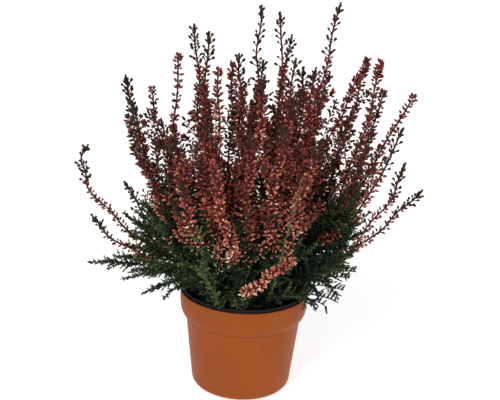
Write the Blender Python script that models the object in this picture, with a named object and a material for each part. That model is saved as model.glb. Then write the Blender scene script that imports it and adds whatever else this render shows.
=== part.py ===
# Potted heather: a bud-flowering heather in a black grow pot, which stands in a terracotta-coloured pot.
# Metres, +Z up. The origin is the middle of the pot's underside.

import math
import random

import bmesh
import bpy
from mathutils import Matrix, Vector
from mathutils.bvhtree import BVHTree

MM = 0.001
GAP = 0.3 * MM
SEED = 41
MERGE = 0.01 * MM
SMOOTH_BELOW = math.radians(35)

# Outer pot
POT_SIDES = 32
POT_HEIGHT = 96 * MM
RIM_RADIUS = 60 * MM
RIM_ROUND = 0.8 * MM
COLLAR_HEIGHT = 25 * MM
COLLAR_UPRIGHT = 12 * MM
COLLAR_STEPS = 4
NECK_RADIUS = 53.9 * MM
FOOT_RADIUS = 45.4 * MM
FOOT_ROUND = 8 * MM
FOOT_STEPS = 3
FOOT_FLAT_RADIUS = 38.8 * MM
COLLAR_TAPER = 0.5 * MM
FLOOR_RADIUS = 40.6 * MM
POT_WALL = 1.6 * MM
POT_FLOOR = 2 * MM

# Grow pot inside it
GROW_RIM_HEIGHT = 98.8 * MM
GROW_RIM_RADIUS = 57.6 * MM
GROW_LIP = 1.5 * MM
GROW_LIP_DROP = 5 * MM
GROW_NECK_RADIUS = 52 * MM
GROW_NECK_HEIGHT = 84 * MM
GROW_FOOT_RADIUS = 40.5 * MM
GROW_WALL = 1 * MM

# Soil
SOIL_TOP = 85 * MM
SOIL_EDGE_DROP = 2.5 * MM
SOIL_FLAT_RADIUS = 42 * MM
HOLE_DEPTH = 12 * MM
HOLE_SIDES = 6

# Where a shoot would stand in the soil by its lean: near the middle if upright, near the wall if it leans far
BASE_SPREAD = 46 * MM
LEAN_SCALE = math.radians(18)

# Woody stems: radius in the soil, at the top of the trunk, of an arm where it forks off, and where its
# flowers begin. A trunk's top stands further out than its foot by TRUNK_LEAN of its distance from the middle.
STEM_SIDES = 3
TRUNK_RADIUS = 2.0 * MM
TRUNK_TOP_RADIUS = 1.6 * MM
LEADER_RADIUS = 1.4 * MM
TRUNK_LEAN = 0.12
TRUNK_FOOT = 1 * MM
ARM_RADIUS = 1.3 * MM
ARM_END_RADIUS = 1.0 * MM
STEM_DEPTH = 10 * MM
FIRST_FORK = 13 * MM
FORK_STEP = 6 * MM
FORK_REACH = 0.7
FORK_OFF_COST = 0.3
FORK_OUT = 3.4 * MM
FORK_BEND = 4 * MM
ARM_STEP = 15 * MM
INNER_ARM_STEP = 20 * MM
INNER_LEAN = math.radians(20)
SPRAY_TIP_LENGTH = 14 * MM
SPRAY_TIP_RADIUS = 0.9 * MM

# How finely a shoot's run is measured
CURVE_STEPS = 60

# Flower spikes
SPIKE_STEP = 7.5 * MM
SPIKE_RADIUS = 1.0 * MM
SPIKE_TIP_RADIUS = 0.65 * MM
TIP_LENGTH = 9 * MM
TIP_SWELL = 0.4
TIP_RADIUS = 1.15 * MM
BUD_REACH = (3.1 * MM, 4.1 * MM)
BUD_RISE = (1.6 * MM, 3.4 * MM)
BUD_SIZES = (1, 0.75)
BUD_SHARE = 0.62
OPEN_BUD_SHARE = 0.34

# Leafy twigs, which lean from the stem's face: outwards, along the stem and a little to one side
TWIGS_FROM = 94 * MM
TWIG_LENGTH = (10 * MM, 19 * MM)
TWIG_SHARE = 0.9
LEAF_REACH = (5 * MM, 8 * MM)
LEAF_SHARE = 0.3
TWIG_SIZES = (1, 0.72, 0.5)
TWIG_OUT = 0.85
TWIG_ALONG = (0.35, 0.9)
TWIG_ASIDE = (-0.3, 0.3)
WHORL_HEIGHT = 2.6 * MM

# How far a spike's guard stands off: over its foot, round its waist, past its point, and round a stem
FOOT_LIFT = 0.12 * MM
FOOT_INSET = 0.12
WAIST_SHARE = 0.3
WAIST_CLEAR = 0.22 * MM
POINT_CLEAR = 0.44 * MM
STEM_CLEAR = 0.44 * MM

# Crowns: where each leafy stem stands in the soil (x, y in millimetres)
CROWNS = [
    (2, 5), (-4, -24), (-30, -20), (-29, 15), (-8, 32), (22, 27),
    (32, -10), (22, -30), (40, 8), (-42, -5), (2, -42), (-22, -38),
]

# Flower spikes, in millimetres: tip (x, y, z), elbow (radius, height) where the lower and the upper run of
# the shoot would meet, height where the buds begin, and length of the open end under the tip. The elbow lies
# in the upright plane of the tip, or is swung from it by its third value in degrees.
SPIKES = [
    ((-116, 22, 290), (84, 130), 172, 30),
    ((-104, -38, 282), (70, 130), 172, 20),
    ((-93, 42, 272), (88, 178), 170, 10),
    ((-66, -14, 317), (74, 152), 170, 45),
    ((-55, 18, 340), (45, 198), 168, 30),
    ((-40, -20, 341), (48, 200), 168, 20),
    ((-30, -48, 312), (56, 186), 165, 10),
    ((-20, 46, 297), (50, 182), 168, 10),
    ((-14, -5, 320), (8, 235), 168, 15),
    ((4, 18, 359), (6, 250), 170, 60),
    ((9, -50, 311), (22, 225), 165, 10),
    ((20, 0, 357), (32, 200), 168, 40),
    ((33, 45, 329), (22, 205), 170, 20),
    ((35, -28, 323), (33, 199), 166, 15),
    ((43, 8, 308), (44, 180), 168, 10),
    ((52, -42, 319), (52, 187), 166, 10),
    ((73, 14, 365), (45, 215), 172, 40),
    ((70, 48, 295), (50, 182), 170, 10),
    ((34, -72, 299), (52, 180), 164, 10),
    ((88, -28, 307), (54, 204), 172, 10),
    ((102, 34, 310), (84, 200), 175, 15),
    ((108, -20, 320), (86, 150), 175, 20),
    ((122, 62, 275), (108, 138), 178, 15),
    ((142, 6, 284), (80, 148), 180, 25),
    ((129, -46, 271), (86, 122), 176, 40),
    ((136, -30, 235), (118, 146), 140, 25),
    ((159, 5, 199), (104, 131), 126, 10),
    ((-146, 0, 229), (176, 184), 120, 30),
    ((-140, -22, 171), (140, 152), 118, 15),
    ((-118, 35, 184), (86, 128), 135, 10),
    ((-39, -78, 278), (52, 170), 162, 10),
    ((-1, -86, 275), (54, 170), 160, 10),
    ((26, -84, 278), (56, 172), 162, 10),
    ((59, -74, 264), (60, 165), 164, 10),
    ((-68, -62, 259), (60, 165), 164, 10),
    ((-57, -88, 230), (82, 126, 12), 146, 10),
    ((38, -90, 160), (80, 114, -34), 118, 5),
    ((-30, -98, 246), (84, 150, 10), 150, 10),
    ((52, 84, 268), (60, 165), 166, 10),
    ((8, 66, 300), (40, 180), 166, 10),
    ((-12, 104, 252), (66, 155), 164, 10),
    ((-48, 80, 272), (60, 165), 166, 10),
    ((-88, 80, 235), (76, 150), 160, 10),
    ((96, 92, 238), (84, 150), 162, 10),
]

# Leafy sprays without flowers, in millimetres: tip and elbow as above
SPRAYS = [
    ((-105, 10, 145), (84, 134)),
    ((-144, -10, 118), (92, 120, -6)),
    ((-114, -26, 109), (80, 119)),
    ((-73, -34, 95), (64, 119)),
    ((-98, 32, 168), (70, 135)),
    ((67, -34, 92), (62, 119, -12)),
    ((89, -8, 91), (72, 121)),
    ((99, 22, 102), (78, 118)),
    ((103, 0, 120), (78, 122)),
    ((98, -50, 160), (78, 132)),
    ((43, -90, 234), (66, 136)),
    ((-52, -62, 126), (66, 124)),
    ((60, 72, 130), (74, 124)),
    ((4, 96, 138), (70, 122)),
    ((-60, 66, 128), (70, 124)),
    ((-12, -68, 110), (52, 122)),
]


def clear_scene():
    for thing in list(bpy.data.objects):
        bpy.data.objects.remove(thing)


def material(name, colour, roughness):
    made = bpy.data.materials.new(name)
    made.use_nodes = True
    shader = made.node_tree.nodes["Principled BSDF"]
    shader.inputs["Base Color"].default_value = (*colour, 1)
    shader.inputs["Roughness"].default_value = roughness
    shader.inputs["Metallic"].default_value = 0
    return made


def add_object(name, bm, finish):
    mesh = bpy.data.meshes.new(name)
    bm.to_mesh(mesh)
    bm.free()
    made = bpy.data.objects.new(name, mesh)
    mesh.materials.append(finish)
    bpy.context.collection.objects.link(made)
    return made


def turned(name, profile, finish):
    """A solid of revolution. The profile runs from the axis, round the section and back to the axis."""
    bm = bmesh.new()
    points = [bm.verts.new((radius, 0, height)) for radius, height in profile]
    edges = [bm.edges.new(pair) for pair in zip(points, points[1:])]
    bmesh.ops.spin(
        bm,
        geom=points + edges,
        cent=(0, 0, 0),
        axis=(0, 0, 1),
        angle=math.tau,
        steps=POT_SIDES,
        use_merge=True,
    )
    bmesh.ops.remove_doubles(bm, verts=bm.verts, dist=MERGE)
    bmesh.ops.recalc_face_normals(bm, faces=bm.faces)
    made = add_object(name, bm, finish)
    made.data.shade_smooth()
    made.data.set_sharp_from_angle(angle=SMOOTH_BELOW)
    return made


def outer_pot(finish):
    """A plain tapered pot with a rounded foot and a tall collar that curves in to the wall."""
    collar_bottom = POT_HEIGHT - COLLAR_HEIGHT
    slope = math.atan2(NECK_RADIUS - FOOT_RADIUS, collar_bottom)
    profile = [(0, 0)]
    for step in range(FOOT_STEPS + 1):
        turn = (math.pi / 2 - slope) * step / FOOT_STEPS
        radius = FOOT_FLAT_RADIUS + FOOT_ROUND * math.sin(turn)
        profile.append((radius, FOOT_ROUND - FOOT_ROUND * math.cos(turn)))
    profile.append((NECK_RADIUS, collar_bottom))
    collar_radius = RIM_RADIUS - COLLAR_TAPER
    for step in range(1, COLLAR_STEPS + 1):
        share = step / COLLAR_STEPS
        out = math.sin(share * math.pi / 2)
        rise = 1 - math.cos(share * math.pi / 2)
        height = collar_bottom + (COLLAR_HEIGHT - COLLAR_UPRIGHT) * rise
        profile.append((NECK_RADIUS + (collar_radius - NECK_RADIUS) * out, height))
    profile.append((RIM_RADIUS, POT_HEIGHT - RIM_ROUND))
    profile.append((RIM_RADIUS - RIM_ROUND, POT_HEIGHT))
    profile.append((RIM_RADIUS - POT_WALL, POT_HEIGHT - RIM_ROUND))
    profile.append((collar_radius - POT_WALL, POT_HEIGHT - COLLAR_UPRIGHT))
    profile.append((NECK_RADIUS - POT_WALL, collar_bottom))
    profile.append((FOOT_RADIUS - POT_WALL, FOOT_ROUND))
    profile.append((FLOOR_RADIUS, POT_FLOOR))
    profile.append((0, POT_FLOOR))
    return turned("outer_pot", profile, finish)


def grow_wall_radius(height):
    """Outer radius of the grow pot below its shoulder."""
    share = (height - POT_FLOOR) / (GROW_NECK_HEIGHT - POT_FLOOR)
    return GROW_FOOT_RADIUS + (GROW_NECK_RADIUS - GROW_FOOT_RADIUS) * share


def grow_pot(finish):
    """A thin black pot that stands in the outer pot and shows as a dark ring above its rim."""
    floor = POT_FLOOR + GAP
    lip_inside = GROW_RIM_RADIUS - GROW_LIP
    profile = [
        (0, floor),
        (GROW_FOOT_RADIUS, floor),
        (GROW_NECK_RADIUS, GROW_NECK_HEIGHT),
        (GROW_RIM_RADIUS - GROW_LIP, GROW_RIM_HEIGHT - GROW_LIP_DROP),
        (GROW_RIM_RADIUS, GROW_RIM_HEIGHT - GROW_LIP_DROP + GROW_WALL),
        (GROW_RIM_RADIUS, GROW_RIM_HEIGHT),
        (lip_inside, GROW_RIM_HEIGHT),
        (GROW_RIM_RADIUS - GROW_LIP - GROW_WALL, GROW_RIM_HEIGHT - GROW_LIP_DROP),
        (GROW_NECK_RADIUS - GROW_WALL, GROW_NECK_HEIGHT),
        (GROW_FOOT_RADIUS - GROW_WALL, floor + GROW_WALL),
        (0, floor + GROW_WALL),
    ]
    return turned("grow_pot", profile, finish)


def soil(finish, crowns):
    """The root ball fills the grow pot. Each leafy stem stands in a plain hole in its top."""
    bottom = POT_FLOOR + GAP + GROW_WALL + GAP
    edge_top = SOIL_TOP - SOIL_EDGE_DROP
    inset = GROW_WALL + 2 * GAP
    profile = [
        (0, bottom),
        (grow_wall_radius(bottom) - inset, bottom),
        (grow_wall_radius(edge_top) - inset, edge_top),
        (SOIL_FLAT_RADIUS, SOIL_TOP),
        (0, SOIL_TOP),
    ]
    made = turned("soil", profile, finish)
    bm = bmesh.new()
    for crown in crowns:
        bmesh.ops.create_cone(
            bm,
            cap_ends=True,
            segments=HOLE_SIDES,
            radius1=(TRUNK_RADIUS + GAP) / math.cos(math.pi / HOLE_SIDES),
            radius2=(TRUNK_RADIUS + GAP) / math.cos(math.pi / HOLE_SIDES),
            depth=2 * HOLE_DEPTH,
            matrix=Matrix.Translation((crown.x, crown.y, SOIL_TOP)),
        )
    cutter = add_object("stem_holes", bm, finish)
    cutter.hide_render = True
    cutter.display_type = "WIRE"
    cut = made.modifiers.new("holes", "BOOLEAN")
    cut.object = cutter
    return made


class Curve:
    """A shoot's run from its fork to its tip: one smooth bow whose ends point at its elbow."""

    def __init__(self, start, elbow, tip):
        self.start = start
        self.elbow = elbow
        self.tip = tip
        self.lengths = [0.0]
        last = start
        for step in range(1, CURVE_STEPS + 1):
            here = self.at_share(step / CURVE_STEPS)
            self.lengths.append(self.lengths[-1] + (here - last).length)
            last = here
        self.length = self.lengths[-1]

    def at_share(self, share):
        rest = 1 - share
        return self.start * rest * rest + self.elbow * 2 * rest * share + self.tip * share * share

    def share_of(self, distance):
        for step in range(CURVE_STEPS):
            if self.lengths[step + 1] >= distance:
                span = self.lengths[step + 1] - self.lengths[step]
                return (step + (distance - self.lengths[step]) / span) / CURVE_STEPS
        return 1.0

    def at(self, distance):
        return self.at_share(self.share_of(distance))

    def heading(self, distance):
        share = self.share_of(distance)
        rest = 1 - share
        return ((self.elbow - self.start) * rest + (self.tip - self.elbow) * share).normalized()

    def distance_at_height(self, height):
        for step in range(CURVE_STEPS + 1):
            if self.at_share(step / CURVE_STEPS).z >= height:
                return self.lengths[step]
        return self.length


def next_ring(ring, centre, heading, radius):
    """Places of three corners round a centre, turned half a step from the corners before."""
    middle = (ring[0].co + ring[1].co) / 2 - (ring[0].co + ring[1].co + ring[2].co) / 3
    first = (middle - heading * middle.dot(heading)).normalized()
    second = heading.cross(first)
    places = []
    for corner in range(STEM_SIDES):
        turn = corner * math.tau / STEM_SIDES
        places.append(centre + (first * math.cos(turn) + second * math.sin(turn)) * radius)
    return places


def first_ring(bm, centre, heading, radius, turn):
    """The flat cut end that a stem starts from."""
    aside = heading.orthogonal().normalized()
    second = heading.cross(aside)
    ring = []
    for corner in range(STEM_SIDES):
        angle = turn + corner * math.tau / STEM_SIDES
        ring.append(bm.verts.new(centre + (aside * math.cos(angle) + second * math.sin(angle)) * radius))
    bm.faces.new((ring[0], ring[2], ring[1]))
    return ring


def grow_ring(bm, ring, centre, heading, radius):
    """Carries a stem on to its next ring and gives the ring and the six faces between."""
    upper = [bm.verts.new(place) for place in next_ring(ring, centre, heading, radius)]
    faces = []
    for corner in range(STEM_SIDES):
        after = (corner + 1) % STEM_SIDES
        faces.append(bm.faces.new((ring[corner], ring[after], upper[corner])))
        faces.append(bm.faces.new((upper[corner], ring[after], upper[after])))
    return upper, faces


def close_point(bm, ring, tip):
    point = bm.verts.new(tip)
    for corner in range(STEM_SIDES):
        bm.faces.new((ring[corner], ring[(corner + 1) % STEM_SIDES], point))


def close_flat(bm, ring):
    bm.faces.new(ring)


def solid_tree(foot, waist, tip):
    """A search tree of a small spike: its foot, a wider ring above the foot, and its point."""
    faces = [(0, 2, 1)]
    for corner in range(STEM_SIDES):
        after = (corner + 1) % STEM_SIDES
        faces.append((corner, after, STEM_SIDES + corner))
        faces.append((STEM_SIDES + corner, after, STEM_SIDES + after))
        faces.append((STEM_SIDES + corner, STEM_SIDES + after, 2 * STEM_SIDES))
    return BVHTree.FromPolygons(foot + waist + [tip], faces)


class Room:
    """Keeps what stands already, so that nothing new is placed where it would touch."""

    CELL = 20 * MM

    def __init__(self):
        self.cells = {}

    def keys(self, low, high):
        spans = []
        for axis in range(3):
            spans.append(range(math.floor(low[axis] / self.CELL), math.floor(high[axis] / self.CELL) + 1))
        return [(x, y, z) for x in spans[0] for y in spans[1] for z in spans[2]]

    def add(self, tree, low, high, owner):
        for key in self.keys(low, high):
            self.cells.setdefault(key, []).append((tree, owner))

    def is_free(self, tree, low, high, owner):
        tried = set()
        for key in self.keys(low, high):
            for other, other_owner in self.cells.get(key, ()):
                if id(other) in tried or (other_owner is not None and other_owner == owner):
                    continue
                tried.add(id(other))
                if tree.overlap(other):
                    return False
        return True


def bounds(points, spare):
    low = [min(point[axis] for point in points) - spare for axis in range(3)]
    high = [max(point[axis] for point in points) + spare for axis in range(3)]
    return low, high


def in_plane(azimuth, radius, height):
    return Vector((radius * math.cos(azimuth), radius * math.sin(azimuth), height))


class Shoot:
    """One row of the lists: where it ends, how it bows and where its flowers begin, if it has any."""

    def __init__(self, number, row):
        self.number = number
        self.tip = Vector(row[0]) * MM
        azimuth = math.atan2(self.tip.y, self.tip.x)
        swing = math.radians(row[1][2]) if len(row[1]) > 2 else 0
        self.elbow = in_plane(azimuth + swing, row[1][0] * MM, row[1][1] * MM)
        self.buds_from = row[2] * MM if len(row) > 2 else None
        self.open_length = row[3] * MM if len(row) > 2 else 0
        reach = math.hypot(self.tip.x, self.tip.y)
        self.lean = math.atan2(reach, max(self.tip.z - SOIL_TOP, 1 * MM))
        foot = BASE_SPREAD * (1 - math.exp(-self.lean / LEAN_SCALE))
        self.foot = in_plane(azimuth + swing, foot, SOIL_TOP)
        self.curve = None
        self.end = None


def sort_into_crowns(shoots, crowns):
    """Each shoot grows from the crown nearest to where it would stand by its lean; the flattest forks first."""
    groups = [[] for crown in crowns]
    for shoot in shoots:
        nearest = min(range(len(crowns)), key=lambda place: (crowns[place] - shoot.foot).length)
        groups[nearest].append(shoot)
    for crown, group in zip(crowns, groups):
        group.sort(key=lambda shoot: math.atan2(shoot.elbow.z - crown.z, (shoot.elbow - crown).xy.length))
    return groups


def guard_tree(rings, spare):
    """A search tree a little wider than a stem, from its ring centres and corner places."""
    points = []
    faces = []
    for centre, corners in rings:
        for corner in corners:
            points.append(corner + (corner - centre).normalized() * spare)
    for level in range(len(rings) - 1):
        low = level * STEM_SIDES
        high = low + STEM_SIDES
        for corner in range(STEM_SIDES):
            after = (corner + 1) % STEM_SIDES
            faces.append((low + corner, low + after, high + corner))
            faces.append((high + corner, low + after, high + after))
    return BVHTree.FromPolygons(points, faces), points


class Stem:
    """A three-sided stem that is carried on ring by ring along a curve."""

    def __init__(self, bm, ring, owner):
        self.bm = bm
        self.ring = ring
        self.owner = owner
        self.faces = []
        self.rings = [self.corners()]

    def corners(self):
        places = [corner.co.copy() for corner in self.ring]
        return (sum(places, Vector()) / STEM_SIDES, places)

    def carry_on(self, centre, heading, radius, distance, whorl=False):
        self.ring, faces = grow_ring(self.bm, self.ring, centre, heading, radius)
        for face in faces:
            self.faces.append((face, heading, distance, whorl))
        self.rings.append(self.corners())

    def follow(self, curve, stops, radius_low, radius_high, whorls=False):
        """Rings at the given distances along the curve, tapering evenly from the first to the last."""
        span = max(stops[-1] - stops[0], STEM_SIDES * MM)
        for distance in stops:
            share = (distance - stops[0]) / span
            radius = radius_low + (radius_high - radius_low) * share
            if whorls:
                below = distance - WHORL_HEIGHT
                self.carry_on(curve.at(below), curve.heading(below), radius, below)
            self.carry_on(curve.at(distance), curve.heading(distance), radius, distance, whorls)

    def settle(self, room):
        tree, points = guard_tree(self.rings, STEM_CLEAR)
        room.add(tree, *bounds(points, 0), self.owner)


def even_stops(low, high, step):
    count = max(1, round((high - low) / step))
    return [low + (high - low) * place / count for place in range(1, count + 1)]


def outward(face):
    """The direction a face looks in, from its own corners."""
    first, second, third = [corner.co for corner in face.verts]
    return (second - first).cross(third - first).normalized()


def middle_of(face):
    return sum((corner.co for corner in face.verts), Vector()) / STEM_SIDES


class LeafyStem:
    """A woody stem from its hole in the soil, forked into an arm for each shoot of its crown."""

    def __init__(self, number, crown, group, room):
        self.name = f"leafy_stem_{number:02d}"
        self.bm = bmesh.new()
        self.stems = []
        fork_end = FIRST_FORK + (len(group) - 1) * FORK_STEP
        top = crown + Vector((crown.x * TRUNK_LEAN, crown.y * TRUNK_LEAN, fork_end))
        self.trunk_curve = Curve(crown, (crown + top) / 2, top)
        trunk = self.grow_trunk(self.trunk_curve, (self.name, 0))
        leader = group[-1]
        leader.curve = Curve(top, leader.elbow, leader.tip)
        leader.end = self.arm_end(leader)
        self.finish_arm(trunk, leader, 0, LEADER_RADIUS)
        self.stems.append(trunk)
        for place, shoot in enumerate(group[:-1]):
            self.grow_arm(trunk, shoot, FIRST_FORK + place * FORK_STEP, (self.name, place + 1))
        for stem in self.stems:
            stem.settle(room)

    def arm_end(self, shoot):
        if shoot.buds_from is None:
            return shoot.curve.length
        return shoot.curve.distance_at_height(shoot.buds_from)

    def grow_trunk(self, curve, owner):
        upright = Vector((0, 0, 1))
        ring = first_ring(self.bm, curve.start - upright * STEM_DEPTH, upright, TRUNK_RADIUS, owner[1])
        trunk = Stem(self.bm, ring, owner)
        stops = [TRUNK_FOOT] + even_stops(TRUNK_FOOT, curve.length, FORK_STEP)
        trunk.follow(curve, stops, TRUNK_RADIUS, TRUNK_TOP_RADIUS)
        return trunk

    def finish_arm(self, stem, shoot, low, radius):
        """Carries an arm to its end: a flat seat for a flower spike, or the point of a leafy spray."""
        step = INNER_ARM_STEP if shoot.lean < INNER_LEAN else ARM_STEP
        if shoot.buds_from is None:
            stops = even_stops(low, shoot.end - SPRAY_TIP_LENGTH, step)
            stem.follow(shoot.curve, stops, radius, SPRAY_TIP_RADIUS, whorls=True)
            close_point(self.bm, stem.ring, shoot.tip)
        else:
            stem.follow(shoot.curve, even_stops(low, shoot.end, step), radius, ARM_END_RADIUS, whorls=True)
            close_flat(self.bm, stem.ring)

    def grow_arm(self, trunk, shoot, fork, owner):
        """A side arm leaves the trunk through the free face that looks best towards the arm's elbow."""
        axis = self.trunk_curve.at(fork)
        aside = shoot.elbow - axis
        aside.z = 0
        aside.normalize()
        start = axis + aside * FORK_OUT
        best = None
        for entry in trunk.faces:
            face, heading, distance, whorl = entry
            place = middle_of(face)
            off = abs(place.z - start.z) / FORK_STEP
            if off > FORK_REACH:
                continue
            score = outward(face).dot(aside) - FORK_OFF_COST * off
            if best is None or score > best[0]:
                best = (score, entry)
        face, heading, distance, whorl = best[1]
        trunk.faces.remove(best[1])
        base = list(face.verts)
        self.bm.faces.remove(face)
        shoot.curve = Curve(start, shoot.elbow, shoot.tip)
        shoot.end = self.arm_end(shoot)
        arm = Stem(self.bm, base, owner)
        arm.carry_on(start, (aside + shoot.curve.heading(0)).normalized(), ARM_RADIUS, 0)
        arm.carry_on(shoot.curve.at(FORK_BEND), shoot.curve.heading(FORK_BEND), ARM_RADIUS, FORK_BEND)
        arm.faces = []
        self.finish_arm(arm, shoot, FORK_BEND, ARM_RADIUS)
        self.stems.append(arm)


class FlowerSpike:
    """The flowering end of a shoot, which stands on its arm with a hair's gap."""

    def __init__(self, shoot, room):
        self.name = f"flower_spike_{shoot.number:02d}"
        self.shoot = shoot
        self.bm = bmesh.new()
        curve = shoot.curve
        low = shoot.end + GAP
        ring = first_ring(self.bm, curve.at(low), curve.heading(low), SPIKE_RADIUS, shoot.number)
        self.stem = Stem(self.bm, ring, (self.name, 0))
        top = curve.length - TIP_LENGTH
        self.stem.follow(curve, even_stops(low, top, SPIKE_STEP), SPIKE_RADIUS, SPIKE_TIP_RADIUS)
        swell = top + TIP_LENGTH * TIP_SWELL
        self.stem.carry_on(curve.at(swell), curve.heading(swell), TIP_RADIUS, swell)
        close_point(self.bm, self.stem.ring, shoot.tip)
        self.stem.settle(room)


def raise_point(bm, face, point):
    base = list(face.verts)
    bm.faces.remove(face)
    close_point(bm, base, point)


def try_spike(room, owner, face, point):
    """Whether a spike on this face stays clear of all that stands already, and if so its room is taken."""
    middle = middle_of(face)
    lift = outward(face) * FOOT_LIFT
    foot = [corner.co.lerp(middle, FOOT_INSET) + lift for corner in face.verts]
    waist = []
    for corner in face.verts:
        waist.append(corner.co.lerp(point, WAIST_SHARE) + (corner.co - middle).normalized() * WAIST_CLEAR)
    far = point + (point - middle).normalized() * POINT_CLEAR
    tree = solid_tree(foot, waist, far)
    low, high = bounds(foot + waist + [far], 0)
    if not room.is_free(tree, low, high, owner):
        return False
    room.add(tree, low, high, None)
    return True


def add_buds(spike, room, draws):
    """Buds stand out from the faces of the spike, pointing up and out, fewer near the open tip."""
    shoot = spike.shoot
    dense_end = shoot.curve.length - TIP_LENGTH - shoot.open_length
    for face, heading, distance, whorl in spike.stem.faces:
        opened = distance > dense_end
        if draws.random() > (OPEN_BUD_SHARE if opened else BUD_SHARE):
            continue
        aside = outward(face) * draws.uniform(*BUD_REACH)
        rise = heading * draws.uniform(*BUD_RISE)
        for size in BUD_SIZES:
            point = middle_of(face) + (aside + rise) * size
            if try_spike(room, spike.stem.owner, face, point):
                raise_point(spike.bm, face, point)
                break


def add_twigs(leafy, room, draws):
    """Leafy twigs stand out from the short whorl rings of the arms, and pointed leaves from between them."""
    for stem in leafy.stems:
        for face, heading, distance, whorl in list(stem.faces):
            middle = middle_of(face)
            if middle.z < TWIGS_FROM or draws.random() > (TWIG_SHARE if whorl else LEAF_SHARE):
                continue
            normal = outward(face)
            around = normal.cross(heading) * draws.uniform(*TWIG_ASIDE)
            lean = (normal * TWIG_OUT + heading * draws.uniform(*TWIG_ALONG) + around).normalized()
            length = draws.uniform(*(TWIG_LENGTH if whorl else LEAF_REACH))
            for size in TWIG_SIZES:
                point = middle + lean * length * size
                if try_spike(room, stem.owner, face, point):
                    raise_point(leafy.bm, face, point)
                    break


def build():
    clear_scene()
    terracotta = material("terracotta_plastic", (0.42, 0.125, 0.045), 0.42)
    black = material("black_plastic", (0.012, 0.011, 0.011), 0.5)
    peat = material("peat_soil", (0.012, 0.009, 0.007), 0.95)
    leaf = material("heather_leaf", (0.028, 0.06, 0.022), 0.7)
    bud = material("heather_bud", (0.36, 0.075, 0.05), 0.65)
    crowns = [Vector((x * MM, y * MM, SOIL_TOP)) for x, y in CROWNS]
    pots = [outer_pot(terracotta), grow_pot(black)]
    soil(peat, crowns)
    room = Room()
    for pot in pots:
        points = [vertex.co for vertex in pot.data.vertices]
        tree = BVHTree.FromPolygons(points, [tuple(face.vertices) for face in pot.data.polygons])
        room.add(tree, *bounds(points, 1 * MM), pot.name)
    spikes = [Shoot(number, row) for number, row in enumerate(SPIKES, 1)]
    sprays = [Shoot(number, row) for number, row in enumerate(SPRAYS, 1)]
    groups = sort_into_crowns(spikes + sprays, crowns)
    leafy_stems = []
    for number, (crown, group) in enumerate(zip(crowns, groups), 1):
        leafy_stems.append(LeafyStem(number, crown, group, room))
    flower_spikes = [FlowerSpike(shoot, room) for shoot in spikes]
    draws = random.Random(SEED)
    for spike in flower_spikes:
        add_buds(spike, room, draws)
        add_object(spike.name, spike.bm, bud)
    for leafy in leafy_stems:
        add_twigs(leafy, room, draws)
        add_object(leafy.name, leafy.bm, leaf)


build()
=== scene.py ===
import math
import random

import bpy
import numpy as np
from mathutils import Matrix, Vector


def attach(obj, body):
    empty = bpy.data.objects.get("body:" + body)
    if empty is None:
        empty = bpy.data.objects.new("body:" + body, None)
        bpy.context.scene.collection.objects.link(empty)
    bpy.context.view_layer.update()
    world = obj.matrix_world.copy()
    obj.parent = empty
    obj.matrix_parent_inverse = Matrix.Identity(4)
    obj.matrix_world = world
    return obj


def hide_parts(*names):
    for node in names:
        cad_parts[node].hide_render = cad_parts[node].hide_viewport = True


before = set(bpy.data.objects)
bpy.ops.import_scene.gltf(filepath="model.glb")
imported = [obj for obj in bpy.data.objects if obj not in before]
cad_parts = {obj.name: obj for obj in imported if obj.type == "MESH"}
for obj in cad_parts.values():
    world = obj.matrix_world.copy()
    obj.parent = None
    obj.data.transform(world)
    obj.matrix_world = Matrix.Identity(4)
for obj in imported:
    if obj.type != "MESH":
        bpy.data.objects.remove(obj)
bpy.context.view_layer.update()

MM = 0.001

# Outer pot
# A tapered pot of terracotta-coloured plastic, moulded in one piece, with a rounded foot edge and a tall
# collar that is upright at the rim and curves in to the wall at a crease. It stands on its flat underside.
POT_SIDES = 128
POT_HEIGHT = 96 * MM
POT_RIM_RADIUS = 60 * MM
POT_RIM_ROUND = 0.8 * MM
POT_WALL = 1.6 * MM
POT_FLOOR = 2 * MM
COLLAR_HEIGHT = 25 * MM
COLLAR_UPRIGHT = 12 * MM
COLLAR_TAPER = 0.5 * MM
COLLAR_STEPS = 10
NECK_RADIUS = 53.9 * MM
FOOT_RADIUS = 45.4 * MM
FOOT_FLAT_RADIUS = 38.8 * MM
FOOT_ROUND = 8 * MM
FOOT_STEPS = 8
FOOT_INNER_RADIUS = 40.6 * MM
RIM_STEPS = 6
SMOOTH_BELOW = math.radians(32)
NOISE_LOW = 0.3
NOISE_HIGH = 0.7
TERRACOTTA_DEEP = (0.245, 0.056, 0.0092)
TERRACOTTA_BRIGHT = (0.278, 0.0645, 0.0112)
TERRACOTTA_GLOSS = (0.4, 0.52)


def turned_pot(name, profile):
    """Draws a pot up from a disc, ring by ring.

    The profile is (radius, height) from the underside, up the outside, over the rim, down to the floor.
    """
    bpy.ops.object.select_all(action="DESELECT")
    bpy.ops.mesh.primitive_circle_add(vertices=POT_SIDES, radius=profile[0][0], fill_type="NGON")
    pot = bpy.context.object
    pot.name = name
    bpy.ops.object.mode_set(mode="EDIT")
    bpy.ops.transform.translate(value=(0, 0, profile[0][1]))
    for (radius, height), (next_radius, next_height) in zip(profile, profile[1:]):
        bpy.ops.mesh.extrude_region_move(TRANSFORM_OT_translate={"value": (0, 0, next_height - height)})
        ratio = next_radius / radius
        bpy.ops.transform.resize(value=(ratio, ratio, 1), center_override=(0, 0, next_height))
    bpy.ops.mesh.select_all(action="SELECT")
    bpy.ops.mesh.normals_make_consistent(inside=False)
    bpy.ops.object.mode_set(mode="OBJECT")
    bpy.ops.object.shade_smooth_by_angle(angle=SMOOTH_BELOW)
    return pot


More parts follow.
